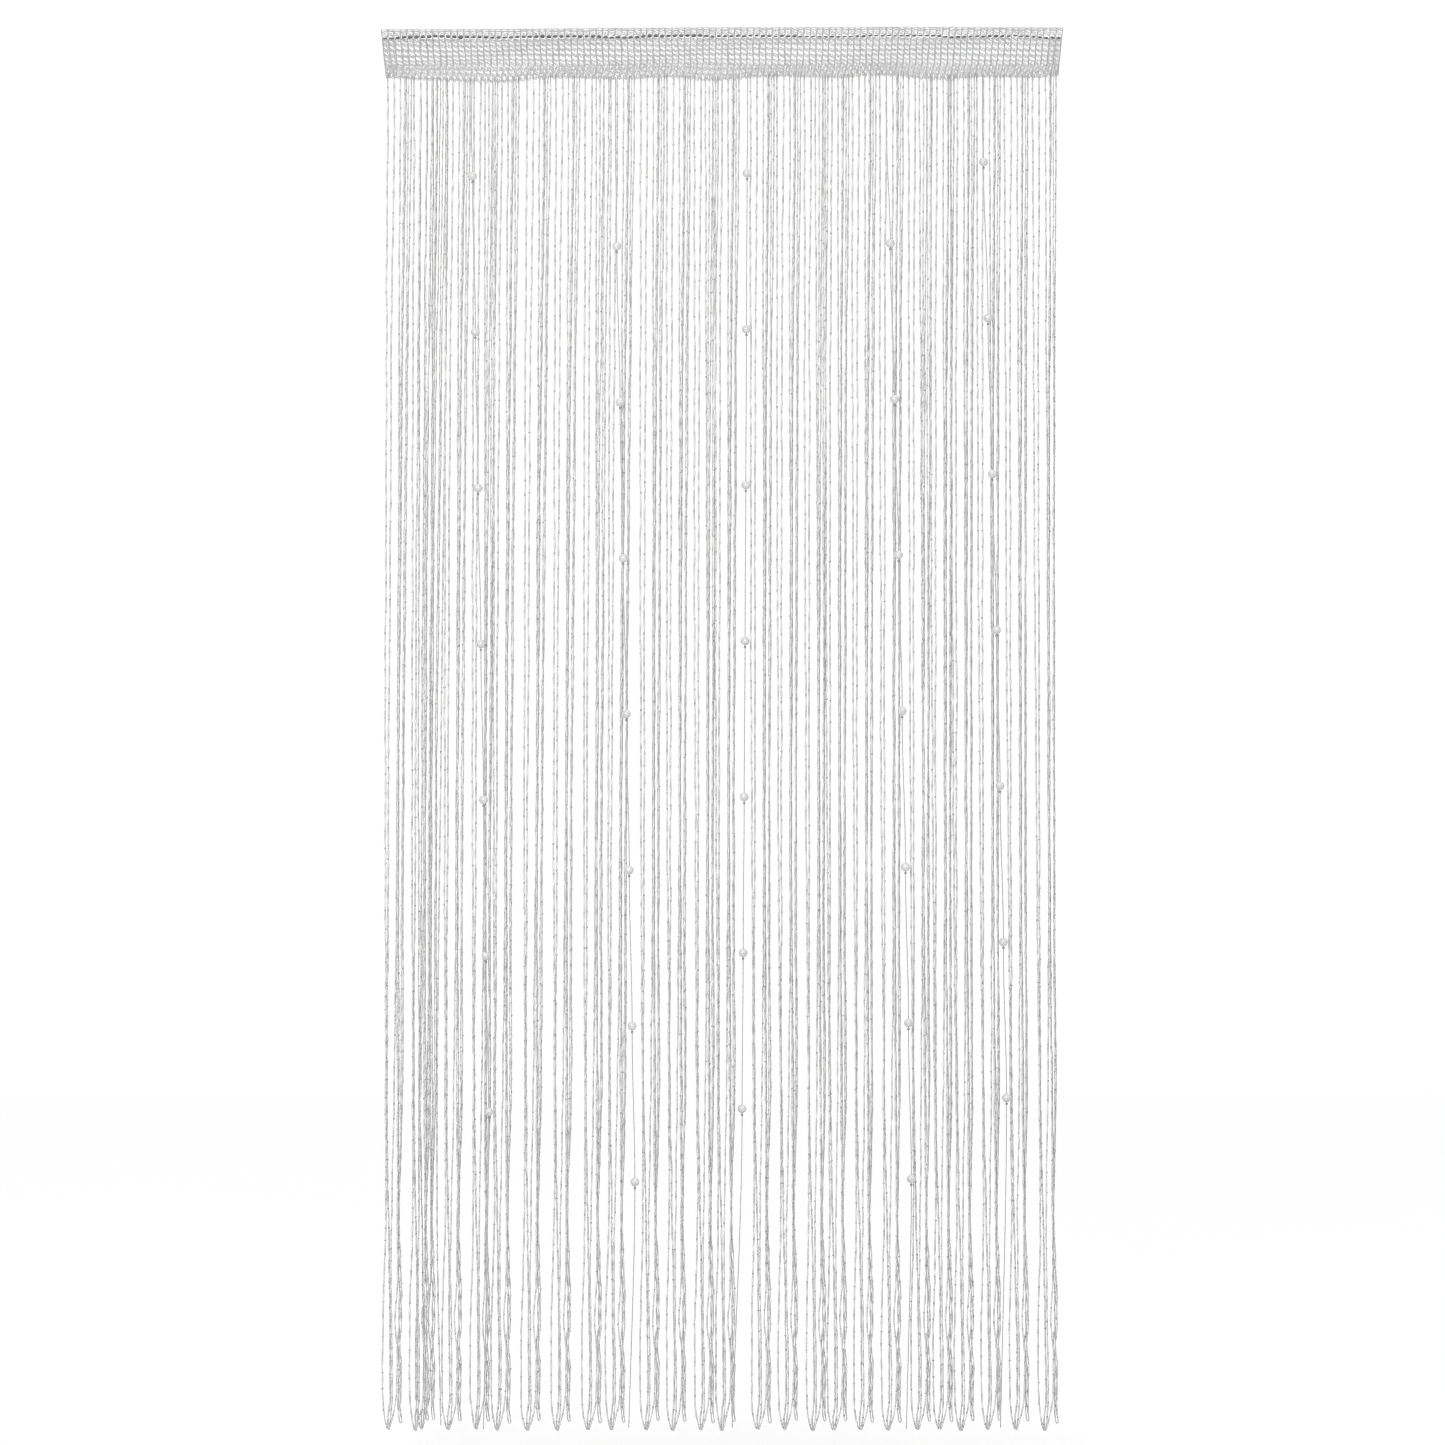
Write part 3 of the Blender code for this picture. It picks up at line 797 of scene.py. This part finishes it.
def tip_points(index, group, loop, shift, stretch):
    """A tip loop's points for one group."""
    base = LANE * (BACK_GROUP_LANES if index == BACK_GROUP else 0)
    foot = group_line(group, LINE_FOOT_DROP)
    front = -2.0 * LANE if loop is LOOP_C_D else 0.0
    return [
        (foot + TIP_BESIDE_LINE + (point.offset - TIP_BESIDE_LINE) * stretch, base + front + point.y,
         -(point.drop + shift))
        for point in loop
    ]


def nubby_tube(path, radius, spacing, close_rings, rng):
    """A bouclé yarn along a path: a knob every few centimetres and small bends between them."""
    lengths = lengths_along(path)
    total = lengths[-1]
    gaps = rng.uniform(0.7, 1.3, int(total / spacing / 0.7) + 2) * spacing
    knobs = np.cumsum(gaps)
    knobs = knobs[knobs < total - 6.0]
    size = rng.uniform(*KNOB_SIZES, len(knobs))
    clear = np.append(knobs[1:], total) - knobs
    middle = knobs + rng.uniform(0.35, 0.65, len(knobs)) * clear
    one = np.ones(len(knobs))
    # Rings at the yarn's start, at each knob's two ends and middle, between two knobs, and at the yarn's end.
    # The last row, dense, is painted shade, darkest in the knobs
    at = [[0.0], knobs - KNOB_HALF_LENGTH, knobs, knobs + KNOB_HALF_LENGTH, middle, [total]]
    wide = [[0.9], one, size, one, rng.uniform(*BETWEEN_KNOBS, len(knobs)), [0.6]]
    stray = [[0.0], 0.15 * one, 0.45 * one, 0.15 * one, 0.3 * one, [0.0]]
    dense = [[0.2], 0.25 * one, rng.uniform(*KNOB_PAINTED_SHADES, len(knobs)), 0.25 * one, 0.0 * one, [0.2]]
    rings = np.stack([np.concatenate(values) for values in (at, wide, stray, dense)])
    for low, high in close_rings:
        rings = rings[:, (rings[0] < low) | (rings[0] > high)]
        extra = np.linspace(low, high, max(int((high - low) / CLOSE_RING_STEP), 2))
        steady = np.stack([extra, rng.uniform(0.88, 1.08, len(extra)), 0.06 + 0.0 * extra, 0.2 + 0.0 * extra])
        rings = np.concatenate([rings, steady], axis=1)
    at, wide, stray, dense = rings[:, np.argsort(rings[0])]
    points = np.stack([np.interp(at, lengths, path[:, axis]) for axis in range(3)], axis=-1)
    points[:, 0] += stray * rng.uniform(-1.0, 1.0, len(at))
    points[:, 1] += 0.6 * stray * rng.uniform(-1.0, 1.0, len(at))
    return Tube(points, radius * wide, RING_TURN * np.arange(len(at)), ALONG_Y, dense)


def loop_tube(down, tip, up, radius, spacing, rng):
    """A yarn that hangs down, turns round a tip loop and goes up again."""
    joined = fine_curve([down[-1], *tip, up[-1]], 0.7)
    path = np.concatenate([down[:-1], joined, up[::-1][1:]])
    start = np.linalg.norm(np.diff(down, axis=0), axis=1).sum()
    length = np.linalg.norm(np.diff(joined, axis=0), axis=1)
    lowest = start + length[:np.argmin(joined[:, 2])].sum()
    return nubby_tube(path, radius, spacing, [(lowest - CLOSE_TO_TIP, lowest + CLOSE_TO_TIP)], rng)


def group_tubes(index, group, radius, spacing, rng):
    """The four yarns of a group: two loops, a twisted loop and a single end."""
    shift = rng.uniform(-1.6, 0.8)
    stretch = rng.uniform(0.85, 1.15)
    last = STATIONS[-1].drop
    hang = {letter: hanging_points(index, group, letter, last, rng) for letter in "abcd"}
    for letter in "efg":
        hang[letter] = hanging_points(index, group, letter, BUNDLE_ENDS[letter], rng)
    tubes = []
    if index == BACK_GROUP:
        radius = BACK_GROUP_SHARE * radius
    for down, up, loop, share in (("a", "b", LOOP_A_B, OUTER_LOOP), ("c", "d", LOOP_C_D, INNER_LOOP)):
        tip = tip_points(index, group, loop, shift, stretch)
        tubes.append(loop_tube(hang[down], tip, hang[up], share * radius, spacing, rng))
    middle = (hang["e"][-1] + hang["f"][-1]) / 2.0
    turn = middle + np.array([0.0, 0.0, -TURN_BELOW_ENDS])
    tubes.append(loop_tube(hang["e"], [turn], hang["f"], TWISTED_LOOP * radius, spacing, rng))
    tubes.append(nubby_tube(hang["g"], SINGLE_END * radius, spacing, [], rng))
    return tubes


def lone_tube(radius, spacing, rng):
    """The string that hangs by itself."""
    drops = np.arange(LONE_STRING[0].drop, LONE_STRING[-1].drop, DROP_STEP)
    x = smooth_through(drops, listed(LONE_STRING, "drop"), listed(LONE_STRING, "x"))
    y = eased(drops, [LONE_STRING[0].drop + ROOT_CLEAR, LONE_STRING[1].drop], [ROOT_ROW, LANE * LONE_LANE])
    return nubby_tube(np.stack([x, y, -drops], axis=-1), radius, spacing, [], rng)


# Strings of pearls

def pearl_box(string_number, pearl_number):
    """A pearl's middle and radius, in millimetres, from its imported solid."""
    low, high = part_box("pearl_%d_%d" % (string_number, pearl_number))
    return (low + high) / 2.0 / MM, (high.z - low.z) / 2.0 / MM


def bead_string_points(string_number, bead_string):
    """A bead string's centre through its pearls, and the places of the knots under them."""
    middles = [pearl_box(string_number, pearl)[0] for pearl in range(1, PEARLS_PER_STRING + 1)]
    front = middles[0].y
    root = float(foot_at(bead_string.root)) - BEAD_STRING_IN_FOOT
    points = [
        (bead_string.root, -1.2, -root),
        (bead_string.root, -2.4, -root - 9.0),
        (bead_string.root, front, -BEAD_STRING_FORWARD_DROP),
    ]
    knots = []
    for middle in middles:
        knots.append((middle.x, middle.y, middle.z - KNOT_BELOW_PEARL))
        points += [(middle.x, middle.y, middle.z + 5.0), knots[-1]]
    points.append((bead_string.end, front, -BEAD_STRING_END_DROP))
    points = np.array(points)
    drops = -points[:, 2]
    at = np.arange(drops[0], drops[-1], BEAD_STRING_STEP)
    x = smooth_through(at, drops, points[:, 0])
    y = np.interp(at, drops, points[:, 1])
    return np.stack([x, y, -at], axis=-1), knots


def knot_tube(middle, radius):
    """An overhand knot: the string wound round itself."""
    share = np.linspace(0.0, 1.0, 30)
    angle = 2.0 * math.pi * KNOT_TURNS * share
    swell = radius * (0.55 + 1.15 * np.sin(math.pi * share))
    x = middle[0] + swell * np.cos(angle)
    y = middle[1] + swell * np.sin(angle)
    z = middle[2] + KNOT_HEIGHT * (0.5 - share)
    radii = radius * (0.55 + 0.45 * np.sin(math.pi * share))
    # The whole knot is painted darker, as the shade under its pearl
    density = np.full(len(share), KNOT_PAINTED_SHADE)
    return Tube(np.stack([x, y, z], axis=-1), radii, np.zeros(len(share)), ALONG_Z, density)


def add_pearl_master(radius, bore):
    """A bored pearl at the origin: a sphere opened at its poles, bridged through and rounded at the rims."""
    bpy.ops.object.select_all(action="DESELECT")
    bpy.ops.mesh.primitive_uv_sphere_add(segments=24, ring_count=16, radius=radius, location=(0, 0, 0))
    pearl = bpy.context.active_object
    bpy.ops.object.mode_set(mode="EDIT")
    bpy.ops.mesh.select_mode(type="VERT")
    bpy.ops.mesh.select_all(action="DESELECT")
    mesh = bmesh.from_edit_mesh(pearl.data)
    for vert in mesh.verts:
        vert.select = math.hypot(vert.co.x, vert.co.y) < bore / 2.0
    mesh.select_flush(True)
    bmesh.update_edit_mesh(pearl.data)
    bpy.ops.mesh.delete(type="VERT")
    mesh = bmesh.from_edit_mesh(pearl.data)
    for edge in mesh.edges:
        edge.select = edge.is_boundary
    for vert in mesh.verts:
        if vert.is_boundary:
            shrink = bore / math.hypot(vert.co.x, vert.co.y)
            vert.co.x *= shrink
            vert.co.y *= shrink
    bmesh.update_edit_mesh(pearl.data)
    bpy.ops.mesh.select_mode(type="EDGE")
    bpy.ops.mesh.bridge_edge_loops()
    bpy.ops.mesh.select_all(action="DESELECT")
    mesh = bmesh.from_edit_mesh(pearl.data)
    for edge in mesh.edges:
        upright = abs(edge.verts[0].co.z - edge.verts[1].co.z) > radius
        rim = all(math.hypot(vert.co.x, vert.co.y) < bore * 1.05 for vert in edge.verts)
        edge.select = rim and not upright
    bmesh.update_edit_mesh(pearl.data)
    bpy.ops.mesh.bevel(offset=bore * 0.25, segments=2, affect="EDGES")
    bpy.ops.mesh.select_all(action="SELECT")
    bpy.ops.mesh.normals_make_consistent(inside=False)
    bpy.ops.object.mode_set(mode="OBJECT")
    bpy.ops.object.shade_smooth_by_angle(angle=math.radians(38.0))
    return pearl


# Materials

# Tones of the seam's thread and of the bead strings, lighter and darker
THREAD_TONES = ("#707070", "#565656")
CORD_TONES = ("#BCBCBC", "#9C9C9C")

# Painted shade: knobs, knots and the thin ends of stitches are mixed towards this dark tone, as the shade
# that falls in them. On the net's pillars and inlays the same mix gives a tone that differs at random
TONE_AND_SHADE_COLOUR = "#4A4A4A"
TONE_AND_SHADE_MOST = 0.7


def linear(colour):
    """The linear colour of an sRGB hex value."""
    channels = [int(colour[place:place + 2], 16) / 255.0 for place in (1, 3, 5)]
    return tuple(c / 12.92 if c <= 0.04045 else ((c + 0.055) / 1.055) ** 2.4 for c in channels) + (1.0,)


def add_node(tree, kind, inputs=None, links=None, **settings):
    """A node with its settings, its input values and its links from other sockets."""
    node = tree.nodes.new(kind)
    for name, value in settings.items():
        setattr(node, name, value)
    for name, value in (inputs or {}).items():
        node.inputs[name].default_value = value
    for name, socket in (links or {}).items():
        tree.links.new(socket, node.inputs[name])
    return node


def start_material(name, roughness, **sockets):
    """A new material with its shader's uniform values set on the shader."""
    material = bpy.data.materials.new(name)
    material.use_nodes = True
    shader = material.node_tree.nodes["Principled BSDF"]
    shader.inputs["Roughness"].default_value = roughness
    for socket, value in sockets.items():
        shader.inputs[socket.replace("_", " ")].default_value = value
    return material, material.node_tree, shader


def two_tones(tree, factor, tones, positions=(0.0, 1.0)):
    """A ramp from one sRGB tone to another."""
    ramp = add_node(tree, "ShaderNodeValToRGB", links={"Fac": factor})
    for element, tone, position in zip(ramp.color_ramp.elements, tones, positions):
        element.color = linear(tone)
        element.position = position
    return ramp.outputs["Color"]


def add_noise(tree, size, **inputs):
    """A noise pattern through the object. Its grains have a size in millimetres."""
    place = add_node(tree, "ShaderNodeTexCoord")
    inputs = {"Scale": 1.0 / (size * MM), **inputs}
    return add_node(
        tree, "ShaderNodeTexNoise", inputs=inputs, links={"Vector": place.outputs["Object"]}).outputs["Fac"]


def calculate(tree, operation, factor, *terms):
    """A number times a factor, plus a second number where one is given."""
    return add_node(
        tree, "ShaderNodeMath", operation=operation, links=dict(zip((0, 2), terms)),
        inputs={1: factor}).outputs[0]


def finish_shader(tree, shader, colour, height, strength, relief):
    """Links a shader's colour, and a bump that stands out by the relief, in millimetres."""
    bump = add_node(
        tree, "ShaderNodeBump", links={"Height": height},
        inputs={"Strength": strength, "Distance": relief * MM})
    tree.links.new(colour, shader.inputs["Base Color"])
    tree.links.new(bump.outputs["Normal"], shader.inputs["Normal"])


def yarn_material(name, light, dark, plies, ply_pitch, fuzz, relief):
    """A spun yarn: its plies wind round it, its tone changes along it, and loose fibres roughen it.

    The pitch of a ply's winding, the size of the fuzz and the relief are in millimetres. Single fibres are
    too fine to show, so the fuzz is drawn with grains of about a millimetre.
    """
    material, tree, shader = start_material(
        name, 0.86, Sheen_Weight=0.18, Sheen_Roughness=0.6, Specular_IOR_Level=0.25)
    uv = add_node(tree, "ShaderNodeUVMap", uv_map="Along the yarn")
    winding = add_node(
        tree, "ShaderNodeVectorMath", operation="DOT_PRODUCT", links={0: uv.outputs["UV"]},
        inputs={1: (2.0 * math.pi * plies, 2.0 * math.pi * UV_UNIT / ply_pitch, 0.0)})
    ply = add_node(tree, "ShaderNodeMath", operation="SINE", links={0: winding.outputs["Value"]}).outputs[0]
    fibres = add_noise(tree, size=fuzz, Detail=3.0, Roughness=0.7)
    tone = add_node(
        tree, "ShaderNodeTexNoise", links={"Vector": uv.outputs["UV"]},
        inputs={"Scale": 1.3, "Detail": 3.0, "Roughness": 0.65}).outputs["Fac"]
    blend = calculate(tree, "MULTIPLY_ADD", 0.10, ply, tone)
    colour = two_tones(tree, blend, (dark, light), (0.3, 0.68))
    # Painted shade: the colour is mixed towards a dark tone where the attribute asks, as shade in knobs,
    # knots and stitch ends; on the net it is random tone
    density = add_node(tree, "ShaderNodeAttribute", attribute_name="Density").outputs["Fac"]
    shaded = add_node(
        tree, "ShaderNodeMix", data_type="RGBA", inputs={7: linear(TONE_AND_SHADE_COLOUR)},
        links={"Factor": calculate(tree, "MULTIPLY", TONE_AND_SHADE_MOST, density), 6: colour})
    height = calculate(tree, "MULTIPLY_ADD", 1.4, fibres, ply)
    finish_shader(tree, shader, shaded.outputs[2], height, strength=0.55, relief=relief)
    return material


def pearl_material(name, light, dark, roughness):
    """Moulded plastic with a pearl lacquer: its mica flakes, of high IOR, give a broad milky sheen."""
    material, tree, shader = start_material(
        name, roughness, Coat_Weight=1.0, Coat_Roughness=0.1, Coat_IOR=1.5, IOR=1.9)
    cloud = add_noise(tree, size=4.0, Detail=2.0, Distortion=1.2)
    colour = two_tones(tree, cloud, (light, dark), (0.3, 0.7))
    finish_shader(tree, shader, colour, cloud, strength=0.08, relief=0.1)
    return material


def floor_material(name, dark, light, glow):
    """Pale studio paper that the light turns white: a faint tooth, and a little light of its own."""
    material, tree, shader = start_material(name, 0.9, Specular_IOR_Level=0.1)
    tooth = add_noise(tree, size=3.0, Detail=3.0)
    colour = two_tones(tree, tooth, (dark, light))
    finish_shader(tree, shader, colour, tooth, strength=0.05, relief=0.2)
    shader.inputs["Emission Color"].default_value = (1.0, 1.0, 1.0, 1.0)
    shader.inputs["Emission Strength"].default_value = glow
    return material


# What a user may change

class HeadingSettings(bpy.types.PropertyGroup):
    columns: IntProperty(
        name="Columns", description="Cells of the net from end to end", default=108, min=20, max=160)
    yarn: FloatProperty(
        name="Net yarn", description="Thickness of the net's yarn", default=0.00098, unit="LENGTH")
    stitch: FloatProperty(
        name="Stitches", description="Thickness of the seam's stitches", default=0.0033, unit="LENGTH")
    light: StringProperty(
        name="Light tone", description="Lighter tone of the net, as sRGB hex", default="#D6D6D6")
    dark: StringProperty(
        name="Dark tone", description="Darker tone of the net, as sRGB hex", default="#B8B8B8")


class StringSettings(bpy.types.PropertyGroup):
    yarn: FloatProperty(
        name="Yarn", description="Thickness of the nubby yarn between its knobs", default=0.0023,
        unit="LENGTH")
    knob_spacing: FloatProperty(
        name="Knob spacing", description="Usual distance from knob to knob", default=0.0235, unit="LENGTH")
    light: StringProperty(
        name="Light tone", description="Lighter tone of the yarn, as sRGB hex", default="#E0E0E0")
    dark: StringProperty(
        name="Dark tone", description="Darker tone of the yarn, as sRGB hex", default="#C4C4C4")
    seed: IntProperty(name="Seed", description="Changes how the yarns stray", default=11)


class PearlSettings(bpy.types.PropertyGroup):
    bore: FloatProperty(
        name="Bore", description="Radius of the pearl's bore", default=0.0012, unit="LENGTH")
    string: FloatProperty(
        name="Bead string", description="Thickness of the smooth string", default=0.0016, unit="LENGTH")
    light: StringProperty(
        name="Light tone", description="Lighter tone of the pearls, as sRGB hex", default="#C5C5C5")
    dark: StringProperty(
        name="Dark tone", description="Darker tone of the pearls, as sRGB hex", default="#A9A9A9")


class StageSettings(bpy.types.PropertyGroup):
    floor_gap: FloatProperty(
        name="Floor gap", description="Air between the tips and the floor", default=0.055, unit="LENGTH")
    distance: FloatProperty(
        name="Camera distance", description="How far the camera stands", default=7.0, unit="LENGTH")
    view: FloatProperty(
        name="View", description="Height and width that the camera sees at the curtain", default=2.0569,
        unit="LENGTH")
    surround: FloatProperty(name="Surround", description="Strength of the white surround", default=1.0)
    overhead: FloatProperty(name="Overhead", description="Strength of the surround overhead", default=1.6)
    softness: FloatProperty(
        name="Softness", description="Width of the pixel filter, in pixels", default=1.0)
    softbox: FloatProperty(
        name="Softbox", description="Power of the soft light above", default=25.0, unit="POWER")


# Operators

class CURTAIN_OT_stage(bpy.types.Operator):
    """Floor, soft light and the camera square on to the curtain"""
    bl_idname = "bead_curtain.stage"
    bl_label = "Stage"

    def execute(self, context):
        settings = context.scene.curtain_stage
        low, high = CAD_BOX
        camera_data = bpy.data.cameras.new("Camera")
        camera_data.sensor_width = 36.0
        camera_data.lens = camera_data.sensor_width * settings.distance / settings.view
        camera = bpy.data.objects.new("Camera", camera_data)
        camera.location = (VIEW_X, -settings.distance, VIEW_Z)
        camera.rotation_euler = (math.radians(90.0), 0.0, 0.0)
        context.scene.collection.objects.link(camera)
        context.scene.camera = camera
        bpy.ops.object.select_all(action="DESELECT")
        bpy.ops.mesh.primitive_plane_add(size=FLOOR_SIZE, location=(0.0, 0.0, low.z - settings.floor_gap))
        floor = context.active_object
        floor.name = "studio_floor"
        bpy.ops.object.transform_apply(location=True, rotation=True, scale=True)
        floor.data.materials.append(floor_material("Studio paper", FLOOR_DARK, FLOOR_LIGHT, FLOOR_GLOW))
        world = bpy.data.worlds.new("White surround")
        world.use_nodes = True
        tree = world.node_tree
        place = add_node(tree, "ShaderNodeTexCoord")
        height = add_node(tree, "ShaderNodeSeparateXYZ", links={0: place.outputs["Generated"]})
        sky = add_node(
            tree, "ShaderNodeMapRange", links={"Value": height.outputs["Z"]},
            inputs={"From Min": 0.2, "To Min": settings.surround, "To Max": settings.overhead})
        background = tree.nodes["Background"]
        background.inputs["Color"].default_value = (1.0, 1.0, 1.0, 1.0)
        tree.links.new(sky.outputs["Result"], background.inputs["Strength"])
        context.scene.world = world
        softbox = bpy.data.lights.new("Softbox", "AREA")
        softbox.shape = "RECTANGLE"
        softbox.size, softbox.size_y = SOFTBOX_SIZE
        softbox.energy = settings.softbox
        light = bpy.data.objects.new("Softbox", softbox)
        light.location = SOFTBOX_PLACE
        aim = Vector(SOFTBOX_AIM) - light.location
        light.rotation_euler = aim.to_track_quat("-Z", "Y").to_euler()
        context.scene.collection.objects.link(light)
        context.scene.view_settings.view_transform = "Standard"
        context.scene.cycles.filter_width = settings.softness
        return {"FINISHED"}


class CURTAIN_OT_heading(bpy.types.Operator):
    """The knitted net heading in its two layers"""
    bl_idname = "bead_curtain.heading"
    bl_label = "Knitted heading"

    def execute(self, context):
        settings = context.scene.curtain_heading
        # Knitted polyester yarn: matte, slightly fuzzy, its plies show as fine slanting ribs
        material = yarn_material(
            "Knitted polyester", settings.light, settings.dark, plies=2, ply_pitch=2.6, fuzz=0.9, relief=0.25)
        for name, layer, nodes in (("net_front_layer", -1.0, ["heading"]), ("net_back_layer", 1.0, [])):
            rng = np.random.default_rng(HEADING_SEED + int(layer))
            tubes = heading_tubes(settings.columns, layer, settings.yarn / MM / 2.0, rng)
            net = joined_tubes(name, tubes, 4)
            finish_piece(net, material, nodes)
        return {"FINISHED"}


class CURTAIN_OT_seam(bpy.types.Operator):
    """The stitches that close the rod pocket under the top edge"""
    bl_idname = "bead_curtain.seam"
    bl_label = "Pocket seam"

    def execute(self, context):
        settings = context.scene.curtain_heading
        rng = np.random.default_rng(SEAM_SEED)
        tubes = seam_tubes(settings.columns, settings.stitch / MM / 2.0, rng)
        seam = joined_tubes("pocket_seam", tubes, 6)
        # Twisted sewing thread, in a much darker grey than the net, with painted shade at the thin ends of
        # its stitches
        material = yarn_material(
            "Twisted sewing thread", *THREAD_TONES, plies=3, ply_pitch=3.0, fuzz=0.8, relief=0.2)
        finish_piece(seam, material)
        return {"FINISHED"}


class CURTAIN_OT_strings(bpy.types.Operator):
    """The groups of nubby strings with their looped tips"""
    bl_idname = "bead_curtain.strings"
    bl_label = "Nubby strings"

    def execute(self, context):
        settings = context.scene.curtain_strings
        radius = settings.yarn / MM / 2.0
        spacing = settings.knob_spacing / MM
        # Bouclé yarn: matte, uneven in tone, with painted shade darkening the knobs where its loop yarn
        # bunches
        material = yarn_material(
            "Bouclé yarn", settings.light, settings.dark, plies=2, ply_pitch=5.0, fuzz=1.1, relief=0.35)
        for number, (first, last) in enumerate(zip(STRING_PIECES, STRING_PIECES[1:]), 1):
            tubes = []
            for index in range(first, last):
                rng = np.random.default_rng(settings.seed * 100 + index)
                tubes += group_tubes(index, GROUPS[index], radius, spacing, rng)
            if number == 1:
                tubes.append(lone_tube(radius, spacing, np.random.default_rng(settings.seed)))
            item = joined_tubes("nubby_strings_%d" % number, tubes, 4)
            finish_piece(item, material, ["string_fringe"] if number == 1 else [])
        return {"FINISHED"}


class CURTAIN_OT_bead_strings(bpy.types.Operator):
    """The smooth strings that carry the pearls, with a knot under each pearl"""
    bl_idname = "bead_curtain.bead_strings"
    bl_label = "Bead strings"

    def execute(self, context):
        radius = context.scene.curtain_pearls.string / MM / 2.0
        rng = np.random.default_rng(CORD_SEED)
        strings = []
        knots = []
        for number, bead_string in enumerate(BEAD_STRINGS, 1):
            points, knot_places = bead_string_points(number, bead_string)
            ply = radius * (1.0 + 0.08 * np.where(np.arange(len(points)) % 2 == 0, 1.0, -1.0))
            ply = ply * rng.uniform(0.95, 1.05, len(points))
            strings.append(Tube(points, ply, 0.6 * np.arange(len(points)), ALONG_Y))
            knots += [knot_tube(place, radius) for place in knot_places]
        # Twisted polyester cord: smoother and tighter than the nubby yarn, with a slight sheen
        material = yarn_material(
            "Twisted polyester cord", *CORD_TONES, plies=3, ply_pitch=2.4, fuzz=0.7, relief=0.15)
        finish_piece(joined_tubes("bead_strings", strings, 6), material)
        finish_piece(joined_tubes("bead_knots", knots, 5), material)
        return {"FINISHED"}


class CURTAIN_OT_pearls(bpy.types.Operator):
    """The bored pearls, each in its own place on its string"""
    bl_idname = "bead_curtain.pearls"
    bl_label = "Pearls"

    def execute(self, context):
        settings = context.scene.curtain_pearls
        rng = np.random.default_rng(PEARL_SEED)
        radius = pearl_box(1, 1)[1] * MM
        master = add_pearl_master(radius, settings.bore)
        material = pearl_material("Pearl-lacquered plastic", settings.light, settings.dark, PEARL_ROUGHNESS)
        for string_number in range(1, len(BEAD_STRINGS) + 1):
            for pearl_number in range(1, PEARLS_PER_STRING + 1):
                name = "pearl_%d_%d" % (string_number, pearl_number)
                middle = pearl_box(string_number, pearl_number)[0] * MM
                mesh = master.data.copy()
                tilt = rng.uniform(-PEARL_TILT, PEARL_TILT, 2)
                turned = Euler((tilt[0], tilt[1], rng.uniform(0.0, FULL_TURN))).to_matrix().to_4x4()
                mesh.transform(Matrix.Translation(middle) @ turned)
                pearl = bpy.data.objects.new("bead_" + name, mesh)
                context.scene.collection.objects.link(pearl)
                finish_piece(pearl, material, [name])
        bpy.data.objects.remove(master)
        return {"FINISHED"}


class CURTAIN_PT_panel(bpy.types.Panel):
    """The curtain's settings and operators"""
    bl_idname = "CURTAIN_PT_panel"
    bl_label = "Bead Curtain"
    bl_space_type = "VIEW_3D"
    bl_region_type = "UI"
    bl_category = "Bead Curtain"

    def draw(self, context):
        for name in ("curtain_stage", "curtain_heading", "curtain_strings", "curtain_pearls"):
            settings = getattr(context.scene, name)
            column = self.layout.column(align=True)
            for item in settings.__annotations__:
                column.prop(settings, item)
        for operator in OPERATORS:
            self.layout.operator(operator.bl_idname)


SETTINGS = {
    "curtain_stage": StageSettings,
    "curtain_heading": HeadingSettings,
    "curtain_strings": StringSettings,
    "curtain_pearls": PearlSettings,
}
OPERATORS = (
    CURTAIN_OT_stage,
    CURTAIN_OT_heading,
    CURTAIN_OT_seam,
    CURTAIN_OT_strings,
    CURTAIN_OT_bead_strings,
    CURTAIN_OT_pearls,
)


def register():
    for settings in SETTINGS.values():
        bpy.utils.register_class(settings)
    for operator in OPERATORS:
        bpy.utils.register_class(operator)
    bpy.utils.register_class(CURTAIN_PT_panel)
    for name, settings in SETTINGS.items():
        setattr(bpy.types.Scene, name, PointerProperty(type=settings))


def unregister():
    for name in SETTINGS:
        delattr(bpy.types.Scene, name)
    bpy.utils.unregister_class(CURTAIN_PT_panel)
    for operator in OPERATORS:
        bpy.utils.unregister_class(operator)
    for settings in SETTINGS.values():
        bpy.utils.unregister_class(settings)


def main():
    """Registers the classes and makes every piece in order."""
    register()
    bpy.ops.bead_curtain.stage()
    bpy.ops.bead_curtain.heading()
    bpy.ops.bead_curtain.seam()
    bpy.ops.bead_curtain.strings()
    bpy.ops.bead_curtain.bead_strings()
    bpy.ops.bead_curtain.pearls()


if __name__ == "__main__":
    main()
